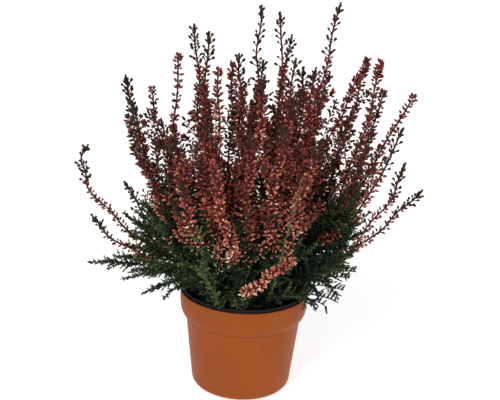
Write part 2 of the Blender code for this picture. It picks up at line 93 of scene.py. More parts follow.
def outer_pot_profile():
    collar_bottom = POT_HEIGHT - COLLAR_HEIGHT
    collar_radius = POT_RIM_RADIUS - COLLAR_TAPER
    slope = math.atan2(NECK_RADIUS - FOOT_RADIUS, collar_bottom)
    profile = []
    for step in range(FOOT_STEPS + 1):
        turn = (math.pi / 2 - slope) * step / FOOT_STEPS
        radius = FOOT_FLAT_RADIUS + FOOT_ROUND * math.sin(turn)
        profile.append((radius, FOOT_ROUND - FOOT_ROUND * math.cos(turn)))
    profile.append((NECK_RADIUS, collar_bottom))
    for step in range(1, COLLAR_STEPS + 1):
        turn = step / COLLAR_STEPS * math.pi / 2
        height = collar_bottom + (COLLAR_HEIGHT - COLLAR_UPRIGHT) * (1 - math.cos(turn))
        profile.append((NECK_RADIUS + (collar_radius - NECK_RADIUS) * math.sin(turn), height))
    for step in range(RIM_STEPS + 1):
        turn = math.pi * step / RIM_STEPS
        radius = POT_RIM_RADIUS - POT_RIM_ROUND + POT_RIM_ROUND * math.cos(turn)
        profile.append((radius, POT_HEIGHT - POT_RIM_ROUND + POT_RIM_ROUND * math.sin(turn)))
    profile.append((collar_radius - POT_WALL, POT_HEIGHT - COLLAR_UPRIGHT))
    profile.append((NECK_RADIUS - POT_WALL, collar_bottom))
    profile.append((FOOT_RADIUS - POT_WALL, FOOT_ROUND))
    profile.append((FOOT_INNER_RADIUS, POT_FLOOR))
    return profile


def new_material(name, roughness, specular=0.5):
    made = bpy.data.materials.new(name)
    made.use_nodes = True
    shader = made.node_tree.nodes["Principled BSDF"]
    shader.inputs["Roughness"].default_value = roughness
    shader.inputs["Specular IOR Level"].default_value = specular
    return made


def add_node(material, kind, **inputs):
    """Adds a node, with its inputs by name: a value for the socket, or another node's output."""
    node = material.node_tree.nodes.new(kind)
    for name, value in inputs.items():
        socket = node.inputs[name.replace("_", " ")]
        if isinstance(value, bpy.types.NodeSocket):
            material.node_tree.links.new(value, socket)
        else:
            socket.default_value = value
    return node


def plug(material, output, socket):
    shader = material.node_tree.nodes["Principled BSDF"]
    material.node_tree.links.new(output, shader.inputs[socket])


def object_place(material, scale=(1, 1, 1)):
    """The place on the piece in metres, stretched by a scale."""
    place = add_node(material, "ShaderNodeTexCoord")
    return add_node(material, "ShaderNodeMapping", Vector=place.outputs["Object"], Scale=scale).outputs[0]


def noise(material, place, scale, detail=3.0, roughness=0.5):
    made = add_node(
        material, "ShaderNodeTexNoise", Vector=place, Scale=scale, Detail=detail, Roughness=roughness
    )
    return made.outputs["Fac"]


def ramp(material, value, stops):
    """Colours along a value: (position, (red, green, blue)) in linear light."""
    made = add_node(material, "ShaderNodeValToRGB", Fac=value)
    elements = made.color_ramp.elements
    while len(elements) < len(stops):
        elements.new(1)
    for element, (position, colour) in zip(elements, stops):
        element.position = position
        element.color = (*colour, 1)
    return made.outputs["Color"]


def span(material, value, to_low, to_high, low=NOISE_LOW, high=NOISE_HIGH):
    """A value carried from one span, a noise's usual one, to another, and held at its ends."""
    made = add_node(
        material, "ShaderNodeMapRange", Value=value,
        From_Min=low, From_Max=high, To_Min=to_low, To_Max=to_high,
    )
    return made.outputs["Result"]


def bump(material, height, strength, distance, under=None):
    made = add_node(material, "ShaderNodeBump", Height=height, Strength=strength, Distance=distance)
    if under is not None:
        material.node_tree.links.new(under, made.inputs["Normal"])
    return made.outputs["Normal"]


def terracotta_plastic():
    """Satin and slightly clouded, with the finest of rings round it and a fine grain."""
    made = new_material("terracotta_plastic", roughness=0.42, specular=0.08)
    cloud = noise(made, object_place(made), scale=28, detail=5, roughness=0.6)
    stops = [(NOISE_LOW, TERRACOTTA_DEEP), (NOISE_HIGH, TERRACOTTA_BRIGHT)]
    plug(made, ramp(made, cloud, stops), "Base Color")
    plug(made, span(made, cloud, *TERRACOTTA_GLOSS), "Roughness")
    rings = noise(made, object_place(made, (0.02, 0.02, 1)), scale=2600, detail=2)
    grain = noise(made, object_place(made), scale=2400, detail=2)
    ringed = bump(made, rings, strength=0.12, distance=0.1 * MM)
    plug(made, bump(made, grain, strength=0.1, distance=0.06 * MM, under=ringed), "Normal")
    return made


outer_pot = turned_pot("outer_pot_shell", outer_pot_profile())
outer_pot.data.materials.append(terracotta_plastic())
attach(outer_pot, "root")
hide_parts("outer_pot")

# Grow pot
# The thin black pot in which the plant was raised, formed from sheet. It stands inside the outer pot, and
# its rolled lip shows as a dark ring above the terracotta rim.
GROW_RIM_HEIGHT = 98.8 * MM
GROW_RIM_RADIUS = 57.6 * MM
GROW_LIP = 1.5 * MM
GROW_LIP_DROP = 5 * MM
GROW_LIP_ROUND = 0.5 * MM
GROW_NECK_RADIUS = 52 * MM
GROW_NECK_HEIGHT = 84 * MM
GROW_FOOT_RADIUS = 40.5 * MM
GROW_FLOOR = 2.3 * MM
GROW_WALL = 1 * MM
BLACK_DEEP = (0.005, 0.0046, 0.0046)
BLACK_WORN = (0.014, 0.0125, 0.0115)
BLACK_GLOSS = (0.5, 0.68)


def grow_pot_profile():
    lip_inner = GROW_RIM_RADIUS - GROW_LIP
    return [
        (GROW_FOOT_RADIUS - GROW_WALL, GROW_FLOOR),
        (GROW_FOOT_RADIUS, GROW_FLOOR + GROW_WALL),
        (GROW_NECK_RADIUS, GROW_NECK_HEIGHT),
        (lip_inner, GROW_RIM_HEIGHT - GROW_LIP_DROP),
        (GROW_RIM_RADIUS, GROW_RIM_HEIGHT - GROW_LIP_DROP + GROW_WALL),
        (GROW_RIM_RADIUS, GROW_RIM_HEIGHT - GROW_LIP_ROUND),
        (GROW_RIM_RADIUS - GROW_LIP_ROUND, GROW_RIM_HEIGHT),
        (lip_inner + GROW_LIP_ROUND, GROW_RIM_HEIGHT),
        (lip_inner, GROW_RIM_HEIGHT - GROW_LIP_ROUND),
        (lip_inner - GROW_WALL, GROW_RIM_HEIGHT - GROW_LIP_DROP),
        (GROW_NECK_RADIUS - GROW_WALL, GROW_NECK_HEIGHT),
        (GROW_FOOT_RADIUS - GROW_WALL, GROW_FLOOR + 2 * GROW_WALL),
    ]


def black_plastic():
    """Dull black, a little paler where it is worn."""
    made = new_material("black_plastic", roughness=0.5, specular=0.12)
    cloud = noise(made, object_place(made), scale=90, detail=4)
    plug(made, ramp(made, cloud, [(0.35, BLACK_DEEP), (0.75, BLACK_WORN)]), "Base Color")
    plug(made, span(made, cloud, *BLACK_GLOSS), "Roughness")
    grain = noise(made, object_place(made), scale=1500)
    plug(made, bump(made, grain, strength=0.15, distance=0.1 * MM), "Normal")
    return made


grow_pot = turned_pot("grow_pot_shell", grow_pot_profile())
grow_pot.data.materials.append(black_plastic())
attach(grow_pot, "root")
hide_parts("grow_pot")

# Soil
# The root ball: dark moist peat, pressed into the grow pot, with a rough crumbly top that lies about 14 mm
# under the lip. Loose crumbs lie on it.
SOIL_TOP = 85 * MM
SOIL_SIDES = 72
SOIL_RINGS = 18
SOIL_TOP_RADIUS = 50.4 * MM
SOIL_FOOT_RADIUS = 38.6 * MM
SOIL_FOOT_HEIGHT = 5 * MM
SOIL_EDGE_DROP = 2.5 * MM
SOIL_FLAT_RADIUS = 42 * MM
SOIL_ROUGHNESS = 1.8 * MM
SOIL_GRAIN = 0.2
SOIL_SWELLS = 60
SWELL_WIDTHS_MM = (2, 7)
SWELL_REACH = 3
SOIL_SEED = 3
CRUMB_COUNT = 260
CRUMB_RADIUS = (0.5 * MM, 1.5 * MM)
CRUMB_LUMPS = (0.7, 1.25)
CRUMB_LIFT = 0.3
CRUMB_SPREAD = 0.97
PEAT_DARK = (0.0035, 0.0027, 0.0022)
PEAT_BROWN = (0.011, 0.0078, 0.0055)
PEAT_PALE = (0.03, 0.02, 0.013)


def soil_height(x, y, swells):
    """The rough top: a flat middle that falls off to the wall, with low swells of a few widths."""
    reach = math.hypot(x, y)
    drop = max(0, reach - SOIL_FLAT_RADIUS) / (SOIL_TOP_RADIUS - SOIL_FLAT_RADIUS)
    height = SOIL_TOP - SOIL_EDGE_DROP * min(1, drop)
    for centre_x, centre_y, width, rise in swells:
        away = ((x - centre_x) ** 2 + (y - centre_y) ** 2) / width ** 2
        if away < SWELL_REACH ** 2:
            height += rise * math.exp(-away)
    return height


def root_ball(swells):
    """A tapered plug of peat, whose top is inset ring by ring and then roughened."""
    bpy.ops.object.select_all(action="DESELECT")
    bpy.ops.mesh.primitive_circle_add(vertices=SOIL_SIDES, radius=SOIL_FOOT_RADIUS, fill_type="NGON")
    ball = bpy.context.object
    ball.name = "peat"
    bpy.ops.object.mode_set(mode="EDIT")
    bpy.ops.transform.translate(value=(0, 0, SOIL_FOOT_HEIGHT))
    rise = SOIL_TOP - SOIL_EDGE_DROP - SOIL_FOOT_HEIGHT
    bpy.ops.mesh.extrude_region_move(TRANSFORM_OT_translate={"value": (0, 0, rise)})
    widen = SOIL_TOP_RADIUS / SOIL_FOOT_RADIUS
    bpy.ops.transform.resize(value=(widen, widen, 1), center_override=(0, 0, 0))
    for ring in range(SOIL_RINGS):
        bpy.ops.mesh.inset(thickness=SOIL_TOP_RADIUS / (SOIL_RINGS + 1))
    bpy.ops.object.mode_set(mode="OBJECT")
    draws = random.Random(SOIL_SEED)
    for vertex in ball.data.vertices:
        if vertex.co.z > SOIL_TOP - 2 * SOIL_EDGE_DROP:
            vertex.co.z = soil_height(vertex.co.x, vertex.co.y, swells)
            vertex.co.z += draws.uniform(-SOIL_GRAIN, SOIL_GRAIN) * SOIL_ROUGHNESS
    return ball


def new_object(name, data):
    made = bpy.data.objects.new(name, data)
    bpy.context.collection.objects.link(made)
    return made


def join_into(first, others):
    """Joins some pieces into the first."""
    for thing in [first] + others:
        thing.select_set(True)
    bpy.context.view_layer.objects.active = first
    bpy.ops.object.join()


def add_crumbs(ball, swells, draws):
    """Each crumb is a lumpy ball of its own size, partly sunk into the top and joined to the ball."""
    bpy.ops.object.select_all(action="DESELECT")
    bpy.ops.mesh.primitive_ico_sphere_add(subdivisions=1, radius=1)
    model = bpy.context.object
    crumbs = []
    for number in range(CRUMB_COUNT):
        reach = SOIL_TOP_RADIUS * CRUMB_SPREAD * math.sqrt(draws.random())
        turn = draws.uniform(0, math.tau)
        x = reach * math.cos(turn)
        y = reach * math.sin(turn)
        size = draws.uniform(*CRUMB_RADIUS)
        crumb = new_object("crumb", model.data.copy())
        for vertex in crumb.data.vertices:
            vertex.co *= size * draws.uniform(*CRUMB_LUMPS)
            vertex.co += Vector((x, y, soil_height(x, y, swells) + size * CRUMB_LIFT))
        crumbs.append(crumb)
    bpy.data.objects.remove(model)
    join_into(ball, crumbs)


def peat():
    """Dark and matt, with clods and fibres."""
    made = new_material("peat", roughness=0.95)
    clods = noise(made, object_place(made), scale=420, detail=6, roughness=0.7)
    fibres = noise(made, object_place(made, (1, 4, 1)), scale=900)
    plug(made, ramp(made, clods, [(0.3, PEAT_DARK), (0.55, PEAT_BROWN), (0.75, PEAT_PALE)]), "Base Color")
    cloddy = bump(made, clods, strength=0.9, distance=1.2 * MM)
    plug(made, bump(made, fibres, strength=0.5, distance=0.4 * MM, under=cloddy), "Normal")
    return made


soil_draws = random.Random(SOIL_SEED)
soil_swells = []
for swell in range(SOIL_SWELLS):
    swell_reach = SOIL_TOP_RADIUS * math.sqrt(soil_draws.random())
    swell_turn = soil_draws.uniform(0, math.tau)
    swell_rise = soil_draws.uniform(-1, 1) * SOIL_ROUGHNESS
    swell_width = soil_draws.uniform(*SWELL_WIDTHS_MM) * MM
    swell_x = swell_reach * math.cos(swell_turn)
    swell_y = swell_reach * math.sin(swell_turn)
    soil_swells.append((swell_x, swell_y, swell_width, swell_rise))
soil = root_ball(soil_swells)
add_crumbs(soil, soil_swells, soil_draws)
soil.data.materials.append(peat())
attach(soil, "root")
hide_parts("soil")

# Leafy stems
# Twelve woody stems stand in the soil. Each forks low down into an arm for every shoot of its crown, and
# the arms carry short blunt twigs that are clad all over in pairs of tiny scale leaves.
CROWNS = [
    (2, 5), (-4, -24), (-30, -20), (-29, 15), (-8, 32), (22, 27),
    (32, -10), (22, -30), (40, 8), (-42, -5), (2, -42), (-22, -38),
]

# Flowering shoots, in millimetres: tip (x, y, z), elbow (radius, height) in the tip's upright plane or
# swung from it by a third value in degrees, height where the buds begin, and length of the open end
SPIKES = [
    ((-116, 22, 290), (84, 130), 172, 30),
    ((-104, -38, 282), (70, 130), 172, 20),
    ((-93, 42, 272), (88, 178), 170, 10),
    ((-66, -14, 317), (74, 152), 170, 45),
    ((-55, 18, 340), (45, 198), 168, 30),
    ((-40, -20, 341), (48, 200), 168, 20),
    ((-30, -48, 312), (56, 186), 165, 10),
    ((-20, 46, 297), (50, 182), 168, 10),
    ((-14, -5, 320), (8, 235), 168, 15),
    ((4, 18, 359), (6, 250), 170, 60),
    ((9, -50, 311), (22, 225), 165, 10),
    ((20, 0, 357), (32, 200), 168, 40),
    ((33, 45, 329), (22, 205), 170, 20),
    ((35, -28, 323), (33, 199), 166, 15),
    ((43, 8, 308), (44, 180), 168, 10),
    ((52, -42, 319), (52, 187), 166, 10),
    ((73, 14, 365), (45, 215), 172, 40),
    ((70, 48, 295), (50, 182), 170, 10),
    ((34, -72, 299), (52, 180), 164, 10),
    ((88, -28, 307), (54, 204), 172, 10),
    ((102, 34, 310), (84, 200), 175, 15),
    ((108, -20, 320), (86, 150), 175, 20),
    ((122, 62, 275), (108, 138), 178, 15),
    ((142, 6, 284), (80, 148), 180, 25),
    ((129, -46, 271), (86, 122), 176, 40),
    ((136, -30, 235), (118, 146), 140, 25),
    ((159, 5, 199), (104, 131), 126, 10),
    ((-146, 0, 229), (176, 184), 120, 30),
    ((-140, -22, 171), (140, 152), 118, 15),
    ((-118, 35, 184), (86, 128), 135, 10),
    ((-39, -78, 278), (52, 170), 162, 10),
    ((-1, -86, 275), (54, 170), 160, 10),
    ((26, -84, 278), (56, 172), 162, 10),
    ((59, -74, 264), (60, 165), 164, 10),
    ((-68, -62, 259), (60, 165), 164, 10),
    ((-57, -88, 230), (82, 126, 12), 146, 10),
    ((38, -90, 160), (80, 114, -34), 118, 5),
    ((-30, -98, 246), (84, 150, 10), 150, 10),
    ((52, 84, 268), (60, 165), 166, 10),
    ((8, 66, 300), (40, 180), 166, 10),
    ((-12, 104, 252), (66, 155), 164, 10),
    ((-48, 80, 272), (60, 165), 166, 10),
    ((-88, 80, 235), (76, 150), 160, 10),
    ((96, 92, 238), (84, 150), 162, 10),
]

# Leafy sprays without flowers, in millimetres: tip and elbow as above
SPRAYS = [
    ((-105, 10, 145), (84, 134)),
    ((-144, -10, 118), (92, 120, -6)),
    ((-114, -26, 109), (80, 119)),
    ((-73, -34, 95), (64, 119)),
    ((-98, 32, 168), (70, 135)),
    ((67, -34, 92), (62, 119, -12)),
    ((89, -8, 91), (72, 121)),
    ((99, 22, 102), (78, 118)),
    ((103, 0, 120), (78, 122)),
    ((98, -50, 160), (78, 132)),
    ((43, -90, 234), (66, 136)),
    ((-52, -62, 126), (66, 124)),
    ((60, 72, 130), (74, 124)),
    ((4, 96, 138), (70, 122)),
    ((-60, 66, 128), (70, 124)),
    ((-12, -68, 110), (52, 122)),
]
BASE_SPREAD = 46 * MM
LEAN_SCALE = math.radians(18)
FIRST_FORK = 13 * MM
FORK_STEP = 6 * MM
FORK_OUT = 3.4 * MM
TRUNK_LEAN = 0.12
TRUNK_RADIUS = 1.9 * MM
TRUNK_TAPER = (1, 1, 0.85, 0.7)
TRUNK_DEPTH = 4 * MM
ARM_RADIUS = 0.85 * MM
ARM_END_RADIUS = 0.62 * MM
SPRAY_END_RADIUS = 0.3 * MM
STEM_POINT_STEP = 5 * MM
CURVE_STEPS = 80
HEADING_REACH = 1 * MM
WAVER = 2.2 * MM
WAVER_RISE = 5
WAVES = (2, 3.6)


class Run:
    """A shoot's bow from its fork to its tip, as close points with their distances along it.

    A seed gives the bow a slight waver, which dies away at both ends.
    """

    def __init__(self, start, elbow, tip, seed=None):
        share = np.linspace(0, 1, CURVE_STEPS + 1)[:, None]
        rest = 1 - share
        self.points = start * rest ** 2 + elbow * 2 * rest * share + tip * share ** 2
        if seed is not None:
            draws = np.random.default_rng(seed)
            waves = draws.uniform(*WAVES, 2)
            swell = np.minimum(np.minimum(share, rest) * WAVER_RISE, 1)
            sway = np.sin(share * waves * math.tau + draws.uniform(0, math.tau, 2))
            self.points[:, :2] += WAVER * swell * sway
        steps = np.linalg.norm(np.diff(self.points, axis=0), axis=1)
        self.distances = np.concatenate([[0], np.cumsum(steps)])
        self.length = self.distances[-1]

    def at(self, distances):
        columns = [np.interp(distances, self.distances, column) for column in self.points.T]
        return np.stack(columns, -1)

    def heading(self, distances):
        ahead = self.at(np.minimum(distances + HEADING_REACH, self.length))
        behind = self.at(np.maximum(distances - HEADING_REACH, 0))
        return unit(ahead - behind)

    def distance_at_height(self, height):
        above = np.nonzero(self.points[:, 2] >= height)[0]
        return self.distances[above[0]] if len(above) else self.length


def unit(rows):
    return rows / np.linalg.norm(rows, axis=-1, keepdims=True)


class Shoot:
    """One row of the lists above, with its foot on the soil and how far it leans out."""

    def __init__(self, number, tip, elbow, buds_from=None, open_length=0):
        self.number = number
        self.flowering = buds_from is not None
        self.tip = np.array(tip) * MM
        swing = math.radians(elbow[2]) if len(elbow) > 2 else 0
        azimuth = math.atan2(self.tip[1], self.tip[0]) + swing
        outward = np.array([math.cos(azimuth), math.sin(azimuth), 0])
        upward = np.array([0, 0, 1])
        self.elbow = outward * elbow[0] * MM + upward * elbow[1] * MM
        self.buds_from = buds_from * MM if self.flowering else None
        self.open_length = open_length * MM
        self.lean = math.atan2(math.hypot(self.tip[0], self.tip[1]), self.tip[2] - SOIL_TOP)
        foot = BASE_SPREAD * (1 - math.exp(-self.lean / LEAN_SCALE))
        self.foot = outward * foot + upward * SOIL_TOP

    def slope_from(self, crown):
        away = self.elbow - crown
        return math.atan2(away[2], math.hypot(away[0], away[1]))

    def set_run(self, start):
        """Lays the shoot's bow, and its seat: how far along it the leaves end and the buds begin."""
        self.run = Run(start, self.elbow, self.tip, self.number if self.flowering else None)
        self.seat = self.run.distance_at_height(self.buds_from) if self.flowering else self.run.length


def grow_from(crown, shoots):
    """Sets where each shoot forks off its trunk, the flattest first, and gives the trunk's top."""
    shoots.sort(key=lambda shoot: shoot.slope_from(crown))
    height = FIRST_FORK + (len(shoots) - 1) * FORK_STEP
    top = crown + np.array([crown[0] * TRUNK_LEAN, crown[1] * TRUNK_LEAN, height])
    for place, shoot in enumerate(shoots[:-1]):
        axis = crown + (top - crown) * (FIRST_FORK + place * FORK_STEP) / height
        aside = shoot.elbow - axis
        aside[2] = 0
        shoot.fork = axis
        shoot.set_run(axis + unit(aside) * FORK_OUT)
    shoots[-1].fork = crown
    shoots[-1].set_run(top)
    return top


def stem_curve(name, lines):
    """Round stems as one mesh: each line is its points and the radius at each."""
    curve = bpy.data.curves.new(name, "CURVE")
    curve.dimensions = "3D"
    curve.bevel_depth = 1
    curve.bevel_resolution = 1
    curve.use_fill_caps = True
    for points, radii in lines:
        spline = curve.splines.new("POLY")
        spline.points.add(len(points) - 1)
        for knot, point, radius in zip(spline.points, points, radii):
            knot.co = (*point, 1)
            knot.radius = radius
    made = new_object(name, curve)
    bpy.ops.object.select_all(action="DESELECT")
    made.select_set(True)
    bpy.context.view_layer.objects.active = made
    bpy.ops.object.convert(target="MESH")
    return bpy.context.object


TWIG_LENGTH = 13 * MM
TWIG_PAIRS = 5
TWIG_CORE = 0.7 * MM
TWIG_TAPER = 0.5
LEAF_LENGTH = 3.8 * MM
LEAF_WIDTH = 2.5 * MM
LEAF_SHRINK = 0.35
LEAF_SEAT = 0.3
LEAF_ANGLE = math.radians(42)
LEAF_CLOSING = 0.5
CORD_CORE = 1.05 * MM
CORD_LENGTH = 15 * MM
CORD_PAIRS = 7
CORD_LEAF_ANGLE = math.radians(31)


def upright_cone(sides, low_radius, high_radius, foot, height):
    """A cone that stands on the axis at a height, with its place in its mesh."""
    bpy.ops.mesh.primitive_cone_add(
        vertices=sides, radius1=low_radius, radius2=high_radius, depth=height,
        location=(0, 0, foot + height / 2),
    )
    bpy.ops.object.transform_apply(location=True, rotation=True, scale=True)
    return bpy.context.object


def leafy_twig(length, pairs, angle, core):
    """A twig along +Z from the origin: a thin core, and pairs of scale leaves a quarter turn apart."""
    bpy.ops.object.select_all(action="DESELECT")
    twig = upright_cone(3, core, core * TWIG_TAPER, 0, length)
    leaves = []
    for pair in range(pairs):
        share = (pair + 0.5) / pairs
        size = 1 - LEAF_SHRINK * share
        for side in range(2):
            leaf = upright_cone(3, LEAF_WIDTH * size / 2, 0, 0, LEAF_LENGTH * size)
            turned = Matrix.Rotation(pair * math.pi / 2 + side * math.pi, 4, "Z")
            seated = Matrix.Translation((core * LEAF_SEAT, 0, 0))
            tilted = Matrix.Rotation(angle * (1 - LEAF_CLOSING * share), 4, "Y")
            leaf.data.transform(turned @ seated @ tilted)
            leaf.data.transform(Matrix.Translation((0, 0, length * share)))
            leaves.append(leaf)
    join_into(twig, leaves)
    return take_model(twig)


def take_model(thing):
    """Takes a small model's points and triangles, to be repeated, and clears its object away."""
    mesh = thing.data
    mesh.calc_loop_triangles()
    points = np.empty(len(mesh.vertices) * 3)
    mesh.vertices.foreach_get("co", points)
    triangles = np.empty(len(mesh.loop_triangles) * 3, np.int32)
    mesh.loop_triangles.foreach_get("vertices", triangles)
    bpy.data.objects.remove(thing)
    return points.reshape(-1, 3), triangles.reshape(-1, 3)


UPRIGHT = np.array([[0.0, 0.0, 1.0]])
NEARLY_UPRIGHT = 0.9
OFF_ZERO = 1e-6


def repeat_model(model, origins, headings, rolls, sizes):
    """Copies of a model, each with its own place, heading for its +Z, roll about it, and size.

    A size is a scale across the model and one along it.
    """
    points, triangles = model
    leaning = np.abs(headings[:, 2:3]) < NEARLY_UPRIGHT
    helper = np.where(leaning, UPRIGHT, [[1.0, 0.0, 0.0]])
    side = unit(np.cross(helper, headings))
    third = np.cross(headings, side)
    across = side * np.cos(rolls)[:, None] + third * np.sin(rolls)[:, None]
    beside = np.cross(headings, across)
    scaled = points[None] * sizes[:, [0, 0, 1]][:, None]
    placed = origins[:, None] + scaled[..., 0:1] * across[:, None] + scaled[..., 1:2] * beside[:, None]
    placed += scaled[..., 2:3] * headings[:, None]
    offsets = np.arange(len(origins))[:, None, None] * len(points)
    return placed.reshape(-1, 3), (triangles[None] + offsets).reshape(-1, 3)


def joined(parts):
    """Several sets of points and triangles as one."""
    shifts = np.cumsum([0] + [len(part[0]) for part in parts[:-1]])
    points = np.concatenate([part[0] for part in parts])
    return points, np.concatenate([part[1] + shift for part, shift in zip(parts, shifts)])


def mesh_piece(name, materials, parts, tones):
    """One object from several sets of points and triangles, with a material and tones for each set."""
    points, triangles = joined(parts)
    mesh = bpy.data.meshes.new(name)
    mesh.vertices.add(len(points))
    mesh.vertices.foreach_set("co", points.astype(np.float32).ravel())
    mesh.loops.add(triangles.size)
    mesh.loops.foreach_set("vertex_index", triangles.astype(np.int32).ravel())
    mesh.polygons.add(len(triangles))
    mesh.polygons.foreach_set("loop_start", np.arange(0, triangles.size, 3, dtype=np.int32))
    indices = np.concatenate([np.full(len(part[1]), slot, np.int32) for slot, part in enumerate(parts)])
    mesh.polygons.foreach_set("material_index", indices)
    mesh.update(calc_edges=True)
    mesh.validate()
    tone = mesh.attributes.new("tone", "FLOAT", "POINT")
    tone.data.foreach_set("value", np.concatenate(tones).astype(np.float32))
    mesh.shade_smooth()
    for material in materials:
        mesh.materials.append(material)
    return new_object(name, mesh)


def own_tone(material):
    """The tone that each point of a piece carries."""
    made = add_node(material, "ShaderNodeAttribute")
    made.attribute_name = "tone"
    return made.outputs["Fac"]


def bark():
    """Stem bark by tone: olive when young, then dark brown wood, then a flower stem's crimson-brown."""
    made = new_material("bark", roughness=0.7, specular=0.08)
    streak = noise(made, object_place(made, (1, 1, 0.3)), scale=700)
    mixed = add_node(made, "ShaderNodeMath")
    mixed.operation = "ADD"
    made.node_tree.links.new(own_tone(made), mixed.inputs[0])
    made.node_tree.links.new(span(made, streak, -0.1, 0.1), mixed.inputs[1])
    stops = [
        (0, (0.19, 0.18, 0.055)),
        (0.3, (0.07, 0.048, 0.02)),
        (0.6, (0.03, 0.018, 0.011)),
        (0.8, (0.06, 0.016, 0.012)),
        (1, (0.1, 0.018, 0.016)),
    ]
    plug(made, ramp(made, mixed.outputs[0], stops), "Base Color")
    plug(made, bump(made, streak, strength=0.5, distance=0.2 * MM), "Normal")
    return made


def heather_leaf():
    """Scale leaves: near-black green where old, brighter green where fresh (a high tone); at the twig tips
    the brighter green is partly a painted highlight.
    """
    made = new_material("heather_leaf", roughness=0.6, specular=0.08)
    stops = [
        (0, (0.009, 0.015, 0.009)),
        (0.45, (0.026, 0.044, 0.024)),
        (0.8, (0.065, 0.104, 0.044)),
        (1, (0.16, 0.22, 0.08)),
    ]
    plug(made, ramp(made, own_tone(made), stops), "Base Color")
    grain = noise(made, object_place(made), scale=2200)
    plug(made, bump(made, grain, strength=0.3, distance=0.1 * MM), "Normal")
    return made


FOLIAGE_SEED = 17
TWIG_SPACING = 3 * MM
TWIG_SHIFT = 0.5
TWIGS_FROM = 90 * MM
TWIG_REACH = (0.6, 1.35)
TWIG_ANGLE = (math.radians(28), math.radians(65))
TWIG_TURN = math.radians(97)
TWIG_TURN_SHIFT = 0.5
TWIG_LIFT = 0.15
FIRST_TWIG = 1 * MM
ARM_BARE = 2 * MM
SIDE_BARE = 4 * MM
BARE_TIP = 2 * MM
BARE_INSIDE = 32 * MM
WALL_BAND = (50 * MM, 62 * MM)
WALL_TOP = 99 * MM
ARM_FADE = 1 * MM
SPRAY_FADE = 30 * MM
SPRAY_FADES = {2: 24 * MM}
SHORTEST = 0.36
LEAF_WIDTHS = (0.75, 1.05)
SPRIG_SPACING = 3.5 * MM
SPRIG_LENGTH = (34 * MM, 60 * MM)
SPRIG_SHORTEST = 15 * MM
SPRIG_BOW = (0.4, 0.8)
SPRIG_TURN_SHIFT = 0.6
SPRIG_POINTS = 7
SPRIG_TOP = 226 * MM
SPRIG_FALL = 50 * MM
SPRIG_OUT = (8 * MM, 16 * MM)
SPRIG_FROM = 0.2
SPRIGS = 5
SPRIG_RADIUS = 0.4 * MM
BASAL_SHOOTS = 7
BASAL_REACH = (10 * MM, 26 * MM)
BASAL_HEIGHT = (14 * MM, 36 * MM)
BASAL_FOOT = 2 * MM
BASAL_BOW = (0.3, 0.8)
BASAL_TURN_SHIFT = 0.4

# More sprays, by the number of the leafy stem and in millimetres. Those at the rim leave the stem's foot,
# with tip and elbow (x, y, z). The leafy ones leave its top, with tip and elbow as in the lists above
RIM_SPRAYS = {
    7: [((86, -34, 100), (56, -21, 110)), ((75, -45, 100), (52, -30, 110))],
    9: [((92, -10, 102), (60, -2, 110)), ((98, 10, 106), (62, 8, 113)), ((104, 0, 117), (66, 4, 119))],
}
LEAFY_SPRAYS = {
    1: [
        ((16, -6, 194), (12, 140)), ((6, 10, 200), (8, 150)), ((-8, -4, 192), (8, 140)),
        ((18, -6, 142), (12, 118)), ((8, -12, 148), (10, 118)),
    ],
    2: [((0, -34, 184), (30, 140)), ((-14, -30, 176), (30, 140))],
    3: [
        ((-98, -32, 132), (62, 120)), ((-84, -40, 108), (56, 118)), ((-76, -42, 152), (52, 140)),
        ((-92, -34, 100), (58, 114)), ((-104, -26, 120), (62, 120)),
    ],
    4: [
        ((-100, 14, 166), (66, 140)), ((-108, 2, 122), (70, 124)), ((-92, 30, 188), (60, 160)),
        ((-106, 6, 178), (60, 142)), ((-112, 10, 158), (70, 130)), ((-106, 22, 148), (72, 130)),
    ],
    5: [((6, 64, 122), (44, 116)), ((20, 66, 126), (46, 118))],
    6: [
        ((40, 62, 124), (52, 116)), ((56, 56, 128), (56, 118)), ((72, 40, 196), (56, 150)),
        ((62, 50, 186), (56, 150)),
    ],
    7: [
        ((40, -2, 196), (38, 150)), ((28, -26, 184), (34, 146)), ((50, -30, 176), (50, 140)),
        ((62, -44, 160), (58, 136)), ((86, -36, 150), (64, 130)), ((94, -22, 166), (66, 136)),
        ((50, -40, 150), (48, 124)),
    ],
    8: [
        ((26, -44, 176), (44, 140)), ((14, -40, 186), (38, 140)), ((46, -56, 166), (54, 138)),
        ((44, -52, 144), (50, 124)), ((30, -58, 140), (50, 122)),
    ],
    9: [
        ((96, -20, 140), (64, 128)), ((88, 30, 168), (58, 140)), ((113, 4, 158), (70, 134)),
        ((112, -8, 180), (68, 144)), ((110, 16, 194), (66, 152)), ((110, 10, 140), (70, 130)),
        ((104, -16, 162), (66, 134)), ((100, -4, 200), (62, 156)), ((108, -4, 170), (68, 138)),
        ((78, 14, 196), (58, 150)), ((70, -4, 190), (54, 146)),
    ],
    10: [
        ((-112, -16, 140), (74, 130)), ((-98, -28, 116), (62, 120)), ((-90, -20, 170), (60, 144)),
        ((-106, -8, 110), (64, 118)), ((-120, -14, 127), (70, 124)), ((-104, -14, 174), (60, 140)),
        ((-113, -4, 166), (66, 132)), ((-110, -12, 152), (70, 130)),
    ],
    12: [((-66, -52, 112), (52, 118)), ((-58, -58, 140), (50, 132))],
}
EXTRA_SPACING = 2.6 * MM
EXTRA_SLIM = 0.62
EXTRA_FADE = 24 * MM
EXTRA_FRESH = 0.45
EXTRA_RADIUS = 0.8 * MM
EXTRA_POINTS = 12

